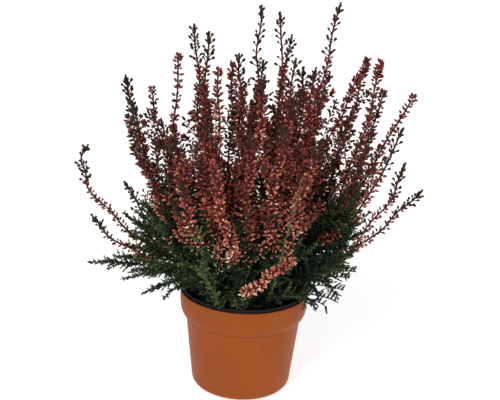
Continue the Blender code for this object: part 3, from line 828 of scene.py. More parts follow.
# What single shoots and sprays have of their own, by their numbers: how fresh the green is, and so on
FRESH_SPIKES = {36: 0.74, 31: 0.5, 28: 0.5, 29: 0.5, 37: 0.6}
FRESH_SPRAYS = {1: 0.5, 2: 0.5, 3: 0.5, 6: 0.55, 7: 0.5, 8: 0.55, 9: 0.55, 11: 0.8}
FRESH_USUAL = 0.24
FRESH_SPREAD = 0.18
FRESH_SHIFT = 0.12
# How much brighter green the twig tips get: partly fresh growth and partly a painted highlight where the
# tips catch the light
FRESH_TIP_AND_HIGHLIGHT = 0.26
BARE_SPIKES = (26, 27, 28, 29, 30, 36, 37, 38)
SINGLE_SPRAYS = (2, 3, 4, 6, 7, 8, 9, 10, 11)
SLIM_SPIKES = {36: 0.62, 37: 0.6, 26: 0.7, 28: 0.7, 29: 0.7}
SLIM_SPRAYS = {2: 0.8, 3: 0.62, 4: 0.62, 11: 0.25}
SPRAY_SPACINGS = {2: 2.3 * MM, 3: 2.3 * MM, 4: 2.3 * MM, 11: 7 * MM}
FINE_ARMS = {11: 0.5}
LEAFY_FEET = {36: 38 * MM}
COMB_FROM = 0.35
COMB_SPACING = 3.8 * MM
COMB_ANGLE = (math.radians(38), math.radians(78))
COMB_REACH = (0.7, 1.3)
COMB_SHORTEST = 0.4
COMB_SWAY = 0.35
COMB_HANGING = 0.2
COMB_DROP = -0.6
OLD_WOOD = 0.6
YOUNG_WOOD = 0.06
YOUNG_FROM = 0.7
SIDE_TAPER = 0.6


def around(run, distances, turns, rises):
    """Directions out from the stem at a turn about it, raised by an angle towards its heading."""
    headings = run.heading(distances)
    side = unit(np.cross(headings, UPRIGHT) + OFF_ZERO)
    third = np.cross(headings, side)
    outward = side * np.cos(turns)[:, None] + third * np.sin(turns)[:, None]
    return outward * np.cos(rises)[:, None] + headings * np.sin(rises)[:, None]


def twig_places(run, start, end, spacing, fade, slim, draws):
    """Pairs of twigs all along a stem, turned on from pair to pair, and shorter where the stem fades out.

    In the shade near the pot's axis every other pair is missing, and no twig grows into the pots' walls.
    """
    stops = np.arange(start, end, spacing)
    spots = run.at(stops)
    shaded = (np.hypot(spots[:, 0], spots[:, 1]) < BARE_INSIDE) & (np.arange(len(stops)) % 2 == 1)
    stops = stops[(spots[:, 2] > TWIGS_FROM) & ~shaded]
    distances = np.repeat(stops, 2) + draws.uniform(-TWIG_SHIFT, TWIG_SHIFT, 2 * len(stops)) * spacing
    distances = np.clip(distances, FIRST_TWIG, end)
    turns = np.repeat(np.arange(len(stops)) * TWIG_TURN, 2) + np.tile([0, math.pi], len(stops))
    turns += draws.uniform(-TWIG_TURN_SHIFT, TWIG_TURN_SHIFT, len(turns))
    rises = math.pi / 2 - draws.uniform(*TWIG_ANGLE, len(turns))
    aims = unit(around(run, distances, turns, rises) + [[0, 0, TWIG_LIFT]])
    reach = slim * draws.uniform(*TWIG_REACH, len(turns)) * np.clip((end - distances) / fade, SHORTEST, 1)
    origins = run.at(distances)
    tips = origins + aims * reach[:, None] * TWIG_LENGTH
    out = np.hypot(tips[:, 0], tips[:, 1])
    clear = (out < WALL_BAND[0]) | (out > WALL_BAND[1]) | (tips[:, 2] > WALL_TOP)
    return origins[clear], aims[clear], reach[clear]


def comb_places(run, start, end, draws):
    """Single long twigs in a row that stand up from a flat spray, now and then one that hangs."""
    distances = np.arange(start, end, COMB_SPACING)
    headings = run.heading(distances)
    angle = draws.uniform(*COMB_ANGLE, len(distances))[:, None]
    hangs = draws.random((len(distances), 1)) < COMB_HANGING
    lift = np.where(hangs, COMB_DROP, 1.0)
    sway = draws.uniform(-COMB_SWAY, COMB_SWAY, (len(distances), 1))
    aside = sway * np.cross(headings, UPRIGHT)
    aims = unit(headings * np.cos(angle) + (UPRIGHT * lift + aside) * np.sin(angle))
    fade = np.clip((end - distances) / SPRAY_FADE, COMB_SHORTEST, 1)
    reach = draws.uniform(*COMB_REACH, len(distances)) * fade
    return run.at(distances), aims, reach


def side_shoot(run, start, length, turn, out, bow, facing=0):
    """A shoot that leaves a stem at its start and ends beside it, some way out.

    The bow is the share of its length at which it bends, and how far out it is there. Facing turns it
    away from the pot's axis.
    """
    stops = np.minimum(start + length * np.array([0, bow[0], 1]), run.length)
    points = run.at(stops)
    outward = around(run, stops, np.full(3, turn), np.zeros(3))
    if facing:
        outward = unit(outward + facing * unit(points * [1, 1, 0]))
    return Run(points[0], points[1] + outward[1] * out * bow[1], points[2] + outward[2] * out)


def sprigs(shoot, draws):
    """Leafy side shoots that leave an arm above its lowest fifth and stand up beside its spike's foot."""
    made = []
    for number in range(SPRIGS):
        start = shoot.seat * draws.uniform(SPRIG_FROM, 1)
        highest = shoot.run.distance_at_height(SPRIG_TOP - SPRIG_FALL * shoot.lean)
        length = min(draws.uniform(*SPRIG_LENGTH), highest - start)
        if length < SPRIG_SHORTEST:
            continue
        turn = number * math.tau / SPRIGS + draws.uniform(-SPRIG_TURN_SHIFT, SPRIG_TURN_SHIFT)
        out = draws.uniform(*SPRIG_OUT)
        made.append(side_shoot(shoot.run, start, length, turn, out, SPRIG_BOW))
    return made


def basal_shoots(crown, draws):
    """Short leafy shoots all round a stem's foot, which rise and lean out over the soil and the rim."""
    made = []
    foot = crown + [0, 0, BASAL_FOOT]
    out, up = BASAL_BOW
    for number in range(BASAL_SHOOTS):
        shift = draws.uniform(-BASAL_TURN_SHIFT, BASAL_TURN_SHIFT)
        azimuth = number * math.tau / BASAL_SHOOTS + shift
        outward = np.array([math.cos(azimuth), math.sin(azimuth), 0]) * draws.uniform(*BASAL_REACH)
        upward = np.array([0, 0, draws.uniform(*BASAL_HEIGHT)])
        made.append(Run(foot, foot + outward * out + upward * up, foot + outward + upward))
    return made


def side_line(run, radius, count):
    """A side stem's points and radii, thinner towards its tip."""
    steps = np.linspace(0, run.length, count)
    return run.at(steps), np.linspace(radius, radius * SIDE_TAPER, count)


def arm_line(shoot, leads):
    """An arm's points and radii, from the trunk to where its buds begin, or to a spray's tip.

    The arm that leads goes on from the trunk's top, and the others start inside the trunk.
    """
    distances = np.append(np.arange(0, shoot.seat, STEM_POINT_STEP), shoot.seat)
    end = ARM_END_RADIUS if shoot.flowering else SPRAY_END_RADIUS
    fine = 1 if shoot.flowering else FINE_ARMS.get(shoot.number, 1)
    radii = np.interp(distances, [0, shoot.seat], [ARM_RADIUS * fine, end])
    points = shoot.run.at(distances)
    if leads:
        return points, radii
    return np.concatenate([shoot.fork[None], points]), np.concatenate([[ARM_RADIUS], radii])


def clad(model, found, draws):
    """Twigs at their places, with a tone for each point that is brighter green towards the twig's tip:
    partly fresher growth and partly a painted highlight.
    """
    usual = np.concatenate([np.full(len(places[0]), fresh) for fresh, places in found])
    columns = zip(*[places for fresh, places in found])
    origins, aims, reaches = [np.concatenate(column) for column in columns]
    sizes = np.stack([np.clip(reaches, *LEAF_WIDTHS), reaches], -1)
    leaves = repeat_model(model, origins, aims, draws.uniform(0, math.tau, len(origins)), sizes)
    along = np.clip(model[0][:, 2] / model[0][:, 2].max(), 0, 1)
    # Brighter green towards each twig's tip, partly a painted highlight
    tones = draws.normal(usual, FRESH_SPREAD)[:, None] + FRESH_TIP_AND_HIGHLIGHT * along[None] ** 2
    return leaves, np.clip(tones, 0, 1).ravel()


def leafy_stem(number, crown, shoots, top, twig, cord, draws):
    """One stem with its forks, sprays and twigs, as one piece of wood and leaves."""
    name = f"leafy_stem_{number:02d}"
    trunk = [crown - [0, 0, TRUNK_DEPTH], crown, (crown + top) / 2, top]
    lines = {OLD_WOOD: [(trunk, TRUNK_RADIUS * np.array(TRUNK_TAPER))], YOUNG_WOOD: []}
    twigs = []
    cords = []
    side_shoots = basal_shoots(crown, draws)
    for tip, (out, height) in LEAFY_SPRAYS.get(number, []):
        away = np.array([tip[0], tip[1], 0]) / math.hypot(tip[0], tip[1])
        spray = Run(top, away * out * MM + [0, 0, height * MM], np.array(tip) * MM)
        lines[OLD_WOOD].append(side_line(spray, EXTRA_RADIUS, EXTRA_POINTS))
        fresh = draws.normal(EXTRA_FRESH, FRESH_SHIFT)
        places = twig_places(spray, SIDE_BARE, spray.length, EXTRA_SPACING, EXTRA_FADE, EXTRA_SLIM, draws)
        twigs.append((fresh, places))
    for shoot in shoots:
        if shoot.flowering:
            slim = SLIM_SPIKES.get(shoot.number, 1)
            fresh = FRESH_SPIKES.get(shoot.number, FRESH_USUAL)
            fade = ARM_FADE
            spacing = TWIG_SPACING
            end = shoot.seat - BARE_TIP + LEAFY_FEET.get(shoot.number, 0)
            bare = shoot.number in BARE_SPIKES
        else:
            slim = SLIM_SPRAYS.get(shoot.number, 1)
            fresh = FRESH_SPRAYS.get(shoot.number, FRESH_USUAL)
            fade = SPRAY_FADES.get(shoot.number, SPRAY_FADE)
            spacing = SPRAY_SPACINGS.get(shoot.number, TWIG_SPACING)
            end = shoot.seat - BARE_TIP
            bare = shoot.number in SINGLE_SPRAYS
        wood = YOUNG_WOOD if fresh > YOUNG_FROM else OLD_WOOD
        lines[wood].append(arm_line(shoot, shoot is shoots[-1]))
        twigs.append((fresh, twig_places(shoot.run, ARM_BARE, end, spacing, fade, slim, draws)))
        if not bare:
            side_shoots += sprigs(shoot, draws)
    for side in side_shoots:
        lines[OLD_WOOD].append(side_line(side, SPRIG_RADIUS, SPRIG_POINTS))
        fresh = draws.normal(FRESH_USUAL, FRESH_SHIFT)
        places = twig_places(side, SIDE_BARE, side.length, SPRIG_SPACING, SPRAY_FADE, 1, draws)
        twigs.append((fresh, places))
    for tip, elbow in RIM_SPRAYS.get(number, []):
        spray = Run(crown, np.array(elbow) * MM, np.array(tip) * MM)
        lines[OLD_WOOD].append(side_line(spray, EXTRA_RADIUS, EXTRA_POINTS))
        cords.append((FRESH_USUAL, comb_places(spray, spray.length * COMB_FROM, spray.length, draws)))
    woods = [(take_model(stem_curve(name + "_wood", kind)), tone) for tone, kind in lines.items() if kind]
    leaves, leaf_tones = clad(twig, twigs, draws)
    if cords:
        cord_leaves, cord_tones = clad(cord, cords, draws)
        leaves = joined([leaves, cord_leaves])
        leaf_tones = np.concatenate([leaf_tones, cord_tones])
    wood_tones = np.concatenate([np.full(len(wood[0]), tone) for wood, tone in woods])
    wood = joined([wood for wood, tone in woods])
    materials = [bark_material, leaf_material]
    piece = mesh_piece(name + "_foliage", materials, [wood, leaves], [wood_tones, leaf_tones])
    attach(piece, "root")
    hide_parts(name)


spikes = [Shoot(number, *row) for number, row in enumerate(SPIKES, 1)]
sprays = [Shoot(number, *row) for number, row in enumerate(SPRAYS, 1)]
crowns = [np.array([x * MM, y * MM, SOIL_TOP]) for x, y in CROWNS]
crown_shoots = [[] for crown in crowns]
for shoot in spikes + sprays:
    nearest = min(range(len(crowns)), key=lambda place: np.linalg.norm(crowns[place] - shoot.foot))
    crown_shoots[nearest].append(shoot)
bark_material = bark()
leaf_material = heather_leaf()
twig_model = leafy_twig(TWIG_LENGTH, TWIG_PAIRS, LEAF_ANGLE, TWIG_CORE)
cord_model = leafy_twig(CORD_LENGTH, CORD_PAIRS, CORD_LEAF_ANGLE, CORD_CORE)
foliage_draws = np.random.default_rng(FOLIAGE_SEED)
for stem_number, (crown, shoots) in enumerate(zip(crowns, crown_shoots), 1):
    trunk_top = grow_from(crown, shoots)
    leafy_stem(stem_number, crown, shoots, trunk_top, twig_model, cord_model, foliage_draws)

# Flower spikes
# The flowering end of each shoot: a wiry stem with whorls of closed buds on short stalks, and a few side
# racemes that stand up beside it. The buds are pointed ovals of sepals, cream and salmon low down, coral
# further up and crimson-brown above. The youngest, at the open tip, are dark clubs on longer stalks.
BUD_SIDES = 5
BUD_LENGTH = 5.4 * MM
BUD_RADIUS = 1.14 * MM
STALK_LENGTH = 1.6 * MM
STALK_RADIUS = 0.5 * MM
STALK_SIDES = 3
STALK_INTO_BUD = 1.6
CLUB_LENGTH = 4.8 * MM
CLUB_RADIUS = 1.4 * MM
CLUB_STALK = 3.6 * MM
CLUB_STALK_END = 0.6 * MM
TIP_BUD_LENGTH = 3.8 * MM
TIP_BUD_RADIUS = 1 * MM
TIP_BUD_SIDES = 4

# The two rings of a bud: how far up the lower and the upper one are, and the upper one's share of width
BUD_SHAPE = (0.34, 0.68, 0.7)
CLUB_SHAPE = (0.5, 0.8, 0.8)


def closed_bud(stalk_length, length, radius, sides, stalk_end, shape):
    """A bud along +Z, of two rings that close in a point at each end.

    A thin stalk, if it has one, comes up from the origin and reaches into it.
    """
    bpy.ops.object.select_all(action="DESELECT")
    belly_share, breast_share, breast_width = shape
    bud = upright_cone(sides, 0, radius, stalk_length, length * belly_share)
    bpy.ops.object.mode_set(mode="EDIT")
    bpy.ops.mesh.select_mode(type="FACE")
    bpy.ops.mesh.select_all(action="DESELECT")
    bpy.ops.object.mode_set(mode="OBJECT")
    for face in bud.data.polygons:
        face.select = len(face.vertices) == sides
    bpy.ops.object.mode_set(mode="EDIT")
    rise = (breast_share - belly_share) * length
    bpy.ops.mesh.extrude_region_move(TRANSFORM_OT_translate={"value": (0, 0, rise)})
    bpy.ops.transform.resize(value=(breast_width, breast_width, 1), center_override=(0, 0, 0))
    point = (1 - breast_share) * length
    bpy.ops.mesh.extrude_region_move(TRANSFORM_OT_translate={"value": (0, 0, point)})
    bpy.ops.mesh.merge(type="CENTER")
    bpy.ops.mesh.select_all(action="SELECT")
    bpy.ops.mesh.normals_make_consistent(inside=False)
    bpy.ops.object.mode_set(mode="OBJECT")
    if stalk_length:
        stalk = upright_cone(STALK_SIDES, STALK_RADIUS, stalk_end, 0, stalk_length * STALK_INTO_BUD)
        join_into(bud, [stalk])
    return take_model(bud)


def heather_bud():
    """Buds by tone: cream, salmon, coral, crimson and then brown-black."""
    made = new_material("heather_bud", roughness=0.5, specular=0.1)
    stops = [
        (0.0, (0.76, 0.67, 0.45)),
        (0.12, (0.72, 0.41, 0.26)),
        (0.3, (0.53, 0.165, 0.1)),
        (0.5, (0.26, 0.052, 0.042)),
        (0.75, (0.115, 0.023, 0.019)),
        (1.0, (0.03, 0.018, 0.011)),
    ]
    plug(made, ramp(made, own_tone(made), stops), "Base Color")
    grain = noise(made, object_place(made), scale=1800)
    plug(made, bump(made, grain, strength=0.25, distance=0.1 * MM), "Normal")
    return made


BLOOM_SEED = 31

# The stem of a spike
SPIKE_RADIUS = 0.85 * MM
SPIKE_TIP_RADIUS = 0.35 * MM
SPIKE_OVERLAP = 1 * MM
SPIKE_POINT_STEP = 3 * MM
TIP_CORE_RADIUS = 0.75 * MM
TIP_CORE_RAMP = (3 * MM, 2 * MM)
STEM_TONE = 0.75
STEM_TONE_GAIN = 0.25

# Whorls of full buds: rises in degrees, and a gain or loss from the whorls' start to their end
WHORL_STEP = 3.4 * MM
WHORL_BUDS = 4
WHORL_TURN = math.radians(43)
WHORL_TURN_SHIFT = 0.2
FULL_BUDS = 5
SIDE_WHORL_STEP = 3.7 * MM
SIDE_WHORL_BUDS = 3
BUDS_MISSING = 0.08
BUD_SHIFT = 0.4
BUD_SIZES = (0.82, 1.12)
BUD_WIDTH = 0.95
BUD_HEIGHT = 1.05
BUD_CHANGE = 0.2
BUD_RISES = (-8, 36)
BUD_RISE_GAIN = 22
BUD_TONE_SPREAD = 0.18
BUD_TONE_LOSS = 0.08

# The open end with its clubs, and the spindle at the very tip
OPEN_STEP = 6.2 * MM
OPEN_STEPS = (0.6, 1.25)
CLOSE_STEP = 3 * MM
LONG_OPEN = 35 * MM
PAIR_SHARE = 0.6
LOOSE_SHIFT = 0.8
CLUB_SIZES = (0.75, 1.1)
CLUB_RISES = (26, 46)
CLUB_RISE_GAIN = 20
CLUB_TURN = math.radians(60)
TIP_LENGTH = 10 * MM
TIP_STEP = 1.9 * MM
TIP_END = 0.5 * MM
TIP_BUDS = 3
TIP_TURN = math.radians(60)
TIP_RISES = (50, 74)
TIP_SMALLEST = 0.55
TIP_GAIN = 0.45
TIP_SIZES = (0.8, 1.2)
TIP_WIDTH = 1.2
SIDE_TIP_LENGTH = 5 * MM
SIDE_TIP_SIZE = 0.8

# Clusters of stout buds, and the head of a blunt end
CLUSTER_STEP = 4.6 * MM
CLUSTER_BUDS = 4
CLUSTER_TURN = math.radians(50)
CLUSTER_RISES = (12, 55)
HEAD_BUDS = 6
HEAD_RISES = (45, 72)
STOUT_SIZES = (0.8, 1.05)
STOUT_WIDTH = 1.15
STOUT_HEIGHT = 0.95
STOUT_TONE_SPREAD = 0.08

# Low racemes, of which there are none on spikes at the back
LOW_RACEMES = 3
FRONT_RACEMES = 7
LOW_BACK = 10 * MM
LOW_START = (-44 * MM, 18 * MM)
LOW_LOWEST = 4 * MM
LOW_LENGTH = (18 * MM, 34 * MM)
LOW_STEP = 2.9 * MM
LOW_BUDS = 2
LOW_TURN = math.radians(80)
LOW_FACING = 0.7
LOW_OUT = (8 * MM, 20 * MM)
LOW_BOW = (0.5, 0.8)
LOW_BARE = 4 * MM
LOW_POINTS = 5
LOW_SIZES = (0.5, 0.72)
LOW_SIZE_GAIN = 0.3
LOW_RISES = (10, 50)
LOW_TONES = ((134 * MM, 156 * MM, 188 * MM), (0.03, 0.26, 0.42))
LOW_TONE_SPREAD = 0.08
RIGHT_SHADE = 0.16
RIGHT_FROM = 45 * MM

# Tones, and what single spikes have of their own, by their numbers
USUAL_TONES = (0.32, 0.88)
PALE_TONES = (0.15, 0.86)
DULL_TONES = (0.36, 0.9)
SPIKE_TONES = {
    25: DULL_TONES, 26: DULL_TONES, 27: DULL_TONES, 28: (0.28, 0.88), 29: (0.28, 0.88), 30: DULL_TONES,
    36: (0.14, 0.78), 37: (0.24, 0.52), 38: (0.28, 0.66),
}
BUD_SCALES = {26: 0.9, 27: 0.9, 28: 0.94, 29: 0.88, 30: 0.88}
HEADS = {21: 15 * MM, 22: 15 * MM, 20: 7 * MM, 23: 6 * MM, 4: 6 * MM, 7: 5 * MM}
HEAD_USUAL = 3 * MM
HEAD_STEP = 2.2 * MM
PALE_FRONT = -45 * MM
TONE_SHIFT = 0.06
TONE_CLIMB = 0.85
# Tone added along a bud from foot to tip: darker at the foot, partly the calyx's own colour and partly
# painted shade between the buds, and paler at the tip, a painted highlight
BUD_FOOT_SHADE_AND_TIP_HIGHLIGHT = ((0, 0.3, 0.5, 0.75, 1), (0.4, 0.38, 0.12, -0.04, -0.12))
CLUB_TONES = (0.92, 1.12)
SIDE_TIP_TONES = (0.76, 1.06)
BLUNT_SPIKES = (3, 4, 7, 8, 20, 21, 22, 23, 24, 37, 38)
BLUNT_SHADE = 0.76
BLUNT_SHARE = 0.5
CREAM_FROM = 0.5
LONE_SPIKES = (25, 26, 27, 28, 29, 30, 36, 37, 38)
EXTRA_RACEMES = {4: 4, 5: 3, 31: 2, 35: 4}
FULL_SPIKES = (37, 38)
WHORL_STEPS = {
    19: 4.2 * MM, 20: 4.4 * MM, 21: 4 * MM, 22: 4.2 * MM, 23: 4.4 * MM, 24: 4.2 * MM,
    26: 4 * MM, 27: 4 * MM, 28: 3.9 * MM, 29: 3.9 * MM, 30: 4 * MM, 37: 2.4 * MM, 38: 3.2 * MM,
}
LOW_BLOOM = 165 * MM
HIGH_BLOOM = 355 * MM

# Side racemes
SIDE_RADIUS = 0.35 * MM
SIDE_POINTS = 8
SIDE_EVERY = 22 * MM
SIDE_FROM = (-0.14, 0.52)
SIDE_TURN = math.radians(137)
SIDE_TURN_SHIFT = 0.5
SIDE_OUT = (8 * MM, 17 * MM)
SIDE_BOW = (0.4, 1)
SIDE_LENGTH = (30 * MM, 68 * MM)
SIDE_SHORTEST = 20 * MM
SIDE_BELOW_TIP = 12 * MM
SIDE_BUDS_FROM = 5 * MM


def tone_span(shoot):
    """A spike's palest and darkest tone: salmon and cream low down on the front ones, coral on others."""
    usual = PALE_TONES if shoot.tip[1] < PALE_FRONT else USUAL_TONES
    shift = random.Random(shoot.number).gauss(0, TONE_SHIFT)
    return SPIKE_TONES.get(shoot.number, (usual[0] + shift, usual[1] + shift))


def tone_at(run, distance, seat, tones):
    """Bud colour by how far up the spike it sits, or by its height where that is further on."""
    share = (distance - seat) / (run.length - seat)
    height = (run.at(np.array([distance]))[0, 2] - LOW_BLOOM) / (HIGH_BLOOM - LOW_BLOOM)
    return tones[0] + (tones[1] - tones[0]) * max(TONE_CLIMB * share, min(height, 1))


def dense_rows(run, seat, start, end, step, count, tones, draws):
    """Whorls of full buds: distance, turn, rise, size across, size along and tone of each bud."""
    rows = []
    turn = draws.uniform(0, math.tau)
    distance = start
    while distance < end:
        share = (distance - start) / max(end - start, step)
        for number in range(count):
            if draws.random() < BUDS_MISSING:
                continue
            here = distance + draws.uniform(-BUD_SHIFT, BUD_SHIFT) * step
            size = draws.uniform(*BUD_SIZES)
            across = size * (BUD_WIDTH + BUD_CHANGE * share)
            along = size * (BUD_HEIGHT - BUD_CHANGE * share)
            rise = math.radians(draws.uniform(*BUD_RISES) + BUD_RISE_GAIN * share)
            shift = draws.normal(0, BUD_TONE_SPREAD - BUD_TONE_LOSS * share)
            tone = tone_at(run, here, seat, tones) + shift
            rows.append((here, turn + number * math.tau / count, rise, across, along, tone))
        turn += WHORL_TURN + draws.uniform(-WHORL_TURN_SHIFT, WHORL_TURN_SHIFT)
        distance += step
    return rows


def open_rows(start, end, step, draws):
    """Pairs or threes of dark clubs, some way apart where the open end is long."""
    rows = []
    turn = draws.uniform(0, math.tau)
    distance = start
    while distance < end:
        count = 2 if draws.random() < PAIR_SHARE else 3
        for number in range(count):
            size = draws.uniform(*CLUB_SIZES)
            gain = CLUB_RISE_GAIN * (distance - start) / max(end - start, step)
            rise = math.radians(draws.uniform(*CLUB_RISES) + gain)
            here = distance + draws.uniform(-LOOSE_SHIFT, LOOSE_SHIFT) * MM
            tone = draws.uniform(*CLUB_TONES)
            rows.append((here, turn + number * math.tau / count, rise, size, size, tone))
        turn += CLUB_TURN
        distance += step * draws.uniform(*OPEN_STEPS)
    return rows


def cluster_rows(run, start, step, head, tone, draws):
    """Whorls of short stout buds some way apart, then a head of close ones that closes a blunt end."""
    rows = []
    turn = draws.uniform(0, math.tau)
    loose = np.arange(start, run.length - head - step / 2, step)
    for distance in np.append(loose, np.arange(run.length - head, run.length, HEAD_STEP)):
        rises = HEAD_RISES if distance > run.length - HEAD_STEP else CLUSTER_RISES
        count = HEAD_BUDS if distance > run.length - head else CLUSTER_BUDS
        for number in range(count):
            size = draws.uniform(*STOUT_SIZES)
            rise = math.radians(draws.uniform(*rises))
            here = distance + draws.uniform(-LOOSE_SHIFT, LOOSE_SHIFT) * MM
            around_stem = turn + number * math.tau / count
            own = tone + draws.normal(0, STOUT_TONE_SPREAD)
            rows.append((here, around_stem, rise, size * STOUT_WIDTH, size * STOUT_HEIGHT, own))
        turn += CLUSTER_TURN
    return rows


def tip_rows(run, length, size, tones, draws):
    """The spindle at the very tip, packed with the smallest buds, which shrink to its point."""
    rows = []
    turn = draws.uniform(0, math.tau)
    distance = run.length - length
    while distance < run.length - TIP_END:
        share = (run.length - distance) / length
        for number in range(TIP_BUDS):
            rise = math.radians(draws.uniform(*TIP_RISES))
            own = size * (TIP_SMALLEST + TIP_GAIN * share) * draws.uniform(*TIP_SIZES)
            tone = draws.uniform(*tones)
            rows.append((distance, turn + number * math.tau / TIP_BUDS, rise, own * TIP_WIDTH, own, tone))
        turn += TIP_TURN
        distance += TIP_STEP
    return rows


def side_racemes(shoot, draws):
    """Short racemes that leave the spike's lower part and stand up beside it."""
    run = shoot.run
    bloom = run.length - shoot.seat - shoot.open_length
    count = int(bloom / SIDE_EVERY) + EXTRA_RACEMES.get(shoot.number, 0)
    made = []
    for number in range(0 if shoot.number in LONE_SPIKES else count):
        start = shoot.seat + draws.uniform(*SIDE_FROM) * bloom
        length = min(draws.uniform(*SIDE_LENGTH), run.length - start - SIDE_BELOW_TIP)
        if length < SIDE_SHORTEST:
            continue
        turn = number * SIDE_TURN + draws.uniform(-SIDE_TURN_SHIFT, SIDE_TURN_SHIFT)
        out = draws.uniform(*SIDE_OUT)
        made.append((side_shoot(run, start, length, turn, out, SIDE_BOW), start))
    return made


def low_racemes(shoot, draws):
    """Short late shoots about a front spike's foot, with the palest buds."""
    made = []
    bare = shoot.tip[1] > LOW_BACK or shoot.number in LONE_SPIKES
    usual = FRONT_RACEMES if shoot.tip[1] < PALE_FRONT else LOW_RACEMES
    for number in range(0 if bare else usual):
        start = max(shoot.seat + draws.uniform(*LOW_START), LOW_LOWEST)
        length = draws.uniform(*LOW_LENGTH)
        turn = draws.uniform(0, math.tau)
        out = draws.uniform(*LOW_OUT)
        made.append(side_shoot(shoot.run, start, length, turn, out, LOW_BOW, LOW_FACING))
    return made


def low_rows(run, start, end, draws):
    """Loose pairs of buds, cream and small at the bottom, salmon and then coral further up."""
    rows = []
    turn = draws.uniform(0, math.tau)
    for distance in np.arange(start, end, LOW_STEP):
        place = run.at(np.array([distance]))[0]
        usual = np.interp(place[2], *LOW_TONES) + (RIGHT_SHADE if place[0] > RIGHT_FROM else 0)
        for number in range(LOW_BUDS):
            tone = max(draws.normal(usual, LOW_TONE_SPREAD), 0)
            size = draws.uniform(*LOW_SIZES) + min(tone, LOW_SIZE_GAIN)
            rise = math.radians(draws.uniform(*LOW_RISES))
            rows.append((distance, turn + number * math.tau / LOW_BUDS, rise, size, size, tone))
        turn += LOW_TURN
    return rows


def resized(rows, shoot):
    """The rows with their two sizes brought to the shoot's own scale."""
    scale = BUD_SCALES.get(shoot.number, 1)
    return np.array(rows) * [1, 1, 1, scale, scale, 1]


def stamped(run, model, rows):
    """The buds of some rows, with a tone for each point: darker at the bud's foot, partly the calyx's own
    colour and partly painted shade between the buds, and paler towards its tip, a painted highlight.
    """
    distances, turns, rises, across, along, tones = np.array(rows).T
    aims = around(run, distances, turns, rises)
    buds = repeat_model(model, run.at(distances), aims, turns, np.stack([across, along], -1))
    share = np.clip(model[0][:, 2] / model[0][:, 2].max(), 0, 1)
    # Painted shade at each bud's foot, partly its calyx's colour, and a painted highlight at its tip
    shade = np.interp(share, *BUD_FOOT_SHADE_AND_TIP_HIGHLIGHT)
    return buds, np.clip(tones[:, None] + shade[None], 0, 1).ravel()


def spike_line(shoot, blunt):
    """A spike's own stem: its points, a little down into the leaves, and radii, finest at the tip."""
    run = shoot.run
    stops = np.arange(shoot.seat - SPIKE_OVERLAP, run.length - SPIKE_OVERLAP, SPIKE_POINT_STEP)
    distances = np.append(stops, run.length)
    tip_start = run.length - TIP_LENGTH
    bends = [shoot.seat, tip_start - TIP_CORE_RAMP[0], tip_start + TIP_CORE_RAMP[1], run.length]
    core = SPIKE_RADIUS if blunt else TIP_CORE_RADIUS
    radii = np.interp(distances, bends, [SPIKE_RADIUS, SPIKE_RADIUS, core, SPIKE_TIP_RADIUS])
    return run.at(distances), radii


def spike_buds(shoot, blunt, tones, bud, club, scale, draws):
    """The buds on a spike's own stem: whorls, and above them a blunt head or clubs and a pointed tip."""
    run = shoot.run
    seat = shoot.seat
    open_start = run.length - TIP_LENGTH - shoot.open_length
    long_open = shoot.open_length > LONG_OPEN
    step = WHORL_STEPS.get(shoot.number, WHORL_STEP)
    count = FULL_BUDS if shoot.number in FULL_SPIKES else WHORL_BUDS
    foot = LEAFY_FEET.get(shoot.number, 0)
    rows = dense_rows(run, seat, seat + foot + SPIKE_OVERLAP, open_start, step, count, tones, draws)
    rows += low_rows(run, seat + CREAM_FROM * foot, seat + foot, draws)
    parts = []
    if blunt:
        gap = OPEN_STEP if long_open else WHORL_STEPS.get(shoot.number, CLUSTER_STEP)
        head = HEADS.get(shoot.number, HEAD_USUAL)
        rows += cluster_rows(run, open_start, gap, head, BLUNT_SHADE * tones[1], draws)
    else:
        parts.append(stamped(run, scale, tip_rows(run, TIP_LENGTH, 1, CLUB_TONES, draws)))
        open_end = run.length - TIP_LENGTH + TIP_CORE_RAMP[1]
        clubs = open_rows(open_start, open_end, OPEN_STEP if long_open else CLOSE_STEP, draws)
        parts.append(stamped(run, club, resized(clubs, shoot)))
    parts.append(stamped(run, bud, resized(rows, shoot)))
    return parts


def side_buds(side, start, tones, bud, scale, draws):
    """The buds on a side raceme: whorls, and above them a blunt or a pointed end."""
    parts = []
    end = side.length - SIDE_TIP_LENGTH
    rows = dense_rows(side, -start, SIDE_BUDS_FROM, end, SIDE_WHORL_STEP, SIDE_WHORL_BUDS, tones, draws)
    if draws.random() < BLUNT_SHARE:
        tone = tone_at(side, end, -start, tones)
        rows += cluster_rows(side, end, CLUSTER_STEP, HEAD_USUAL, tone, draws)
    else:
        tip = tip_rows(side, SIDE_TIP_LENGTH, SIDE_TIP_SIZE, SIDE_TIP_TONES, draws)
        parts.append(stamped(side, scale, tip))
    parts.append(stamped(side, bud, rows))
    return parts


def flower_spike(shoot, bud, club, scale, draws):
    """One spike with its side racemes and low racemes, as one piece of stems and buds."""
    name = f"flower_spike_{shoot.number:02d}"
    blunt = shoot.number in BLUNT_SPIKES
    tones = tone_span(shoot)
    lines = [spike_line(shoot, blunt)]
    parts = spike_buds(shoot, blunt, tones, bud, club, scale, draws)
    for side, start in side_racemes(shoot, draws):
        lines.append(side_line(side, SIDE_RADIUS, SIDE_POINTS))
        parts += side_buds(side, start, tones, bud, scale, draws)
    for low in low_racemes(shoot, draws):
        lines.append(side_line(low, SIDE_RADIUS, LOW_POINTS))
        parts.append(stamped(low, bud, low_rows(low, LOW_BARE, low.length, draws)))
    stem = take_model(stem_curve(name + "_stem", lines))
    heights = np.clip((stem[0][:, 2] - LOW_BLOOM) / (HIGH_BLOOM - LOW_BLOOM), 0, 1)
    stem_tones = STEM_TONE + STEM_TONE_GAIN * heights
    buds = joined([part[0] for part in parts])
    bud_tones = np.concatenate([part[1] for part in parts])
    materials = [bark_material, bud_material]
    piece = mesh_piece(name + "_bloom", materials, [stem, buds], [stem_tones, bud_tones])
    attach(piece, "root")
    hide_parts(name)


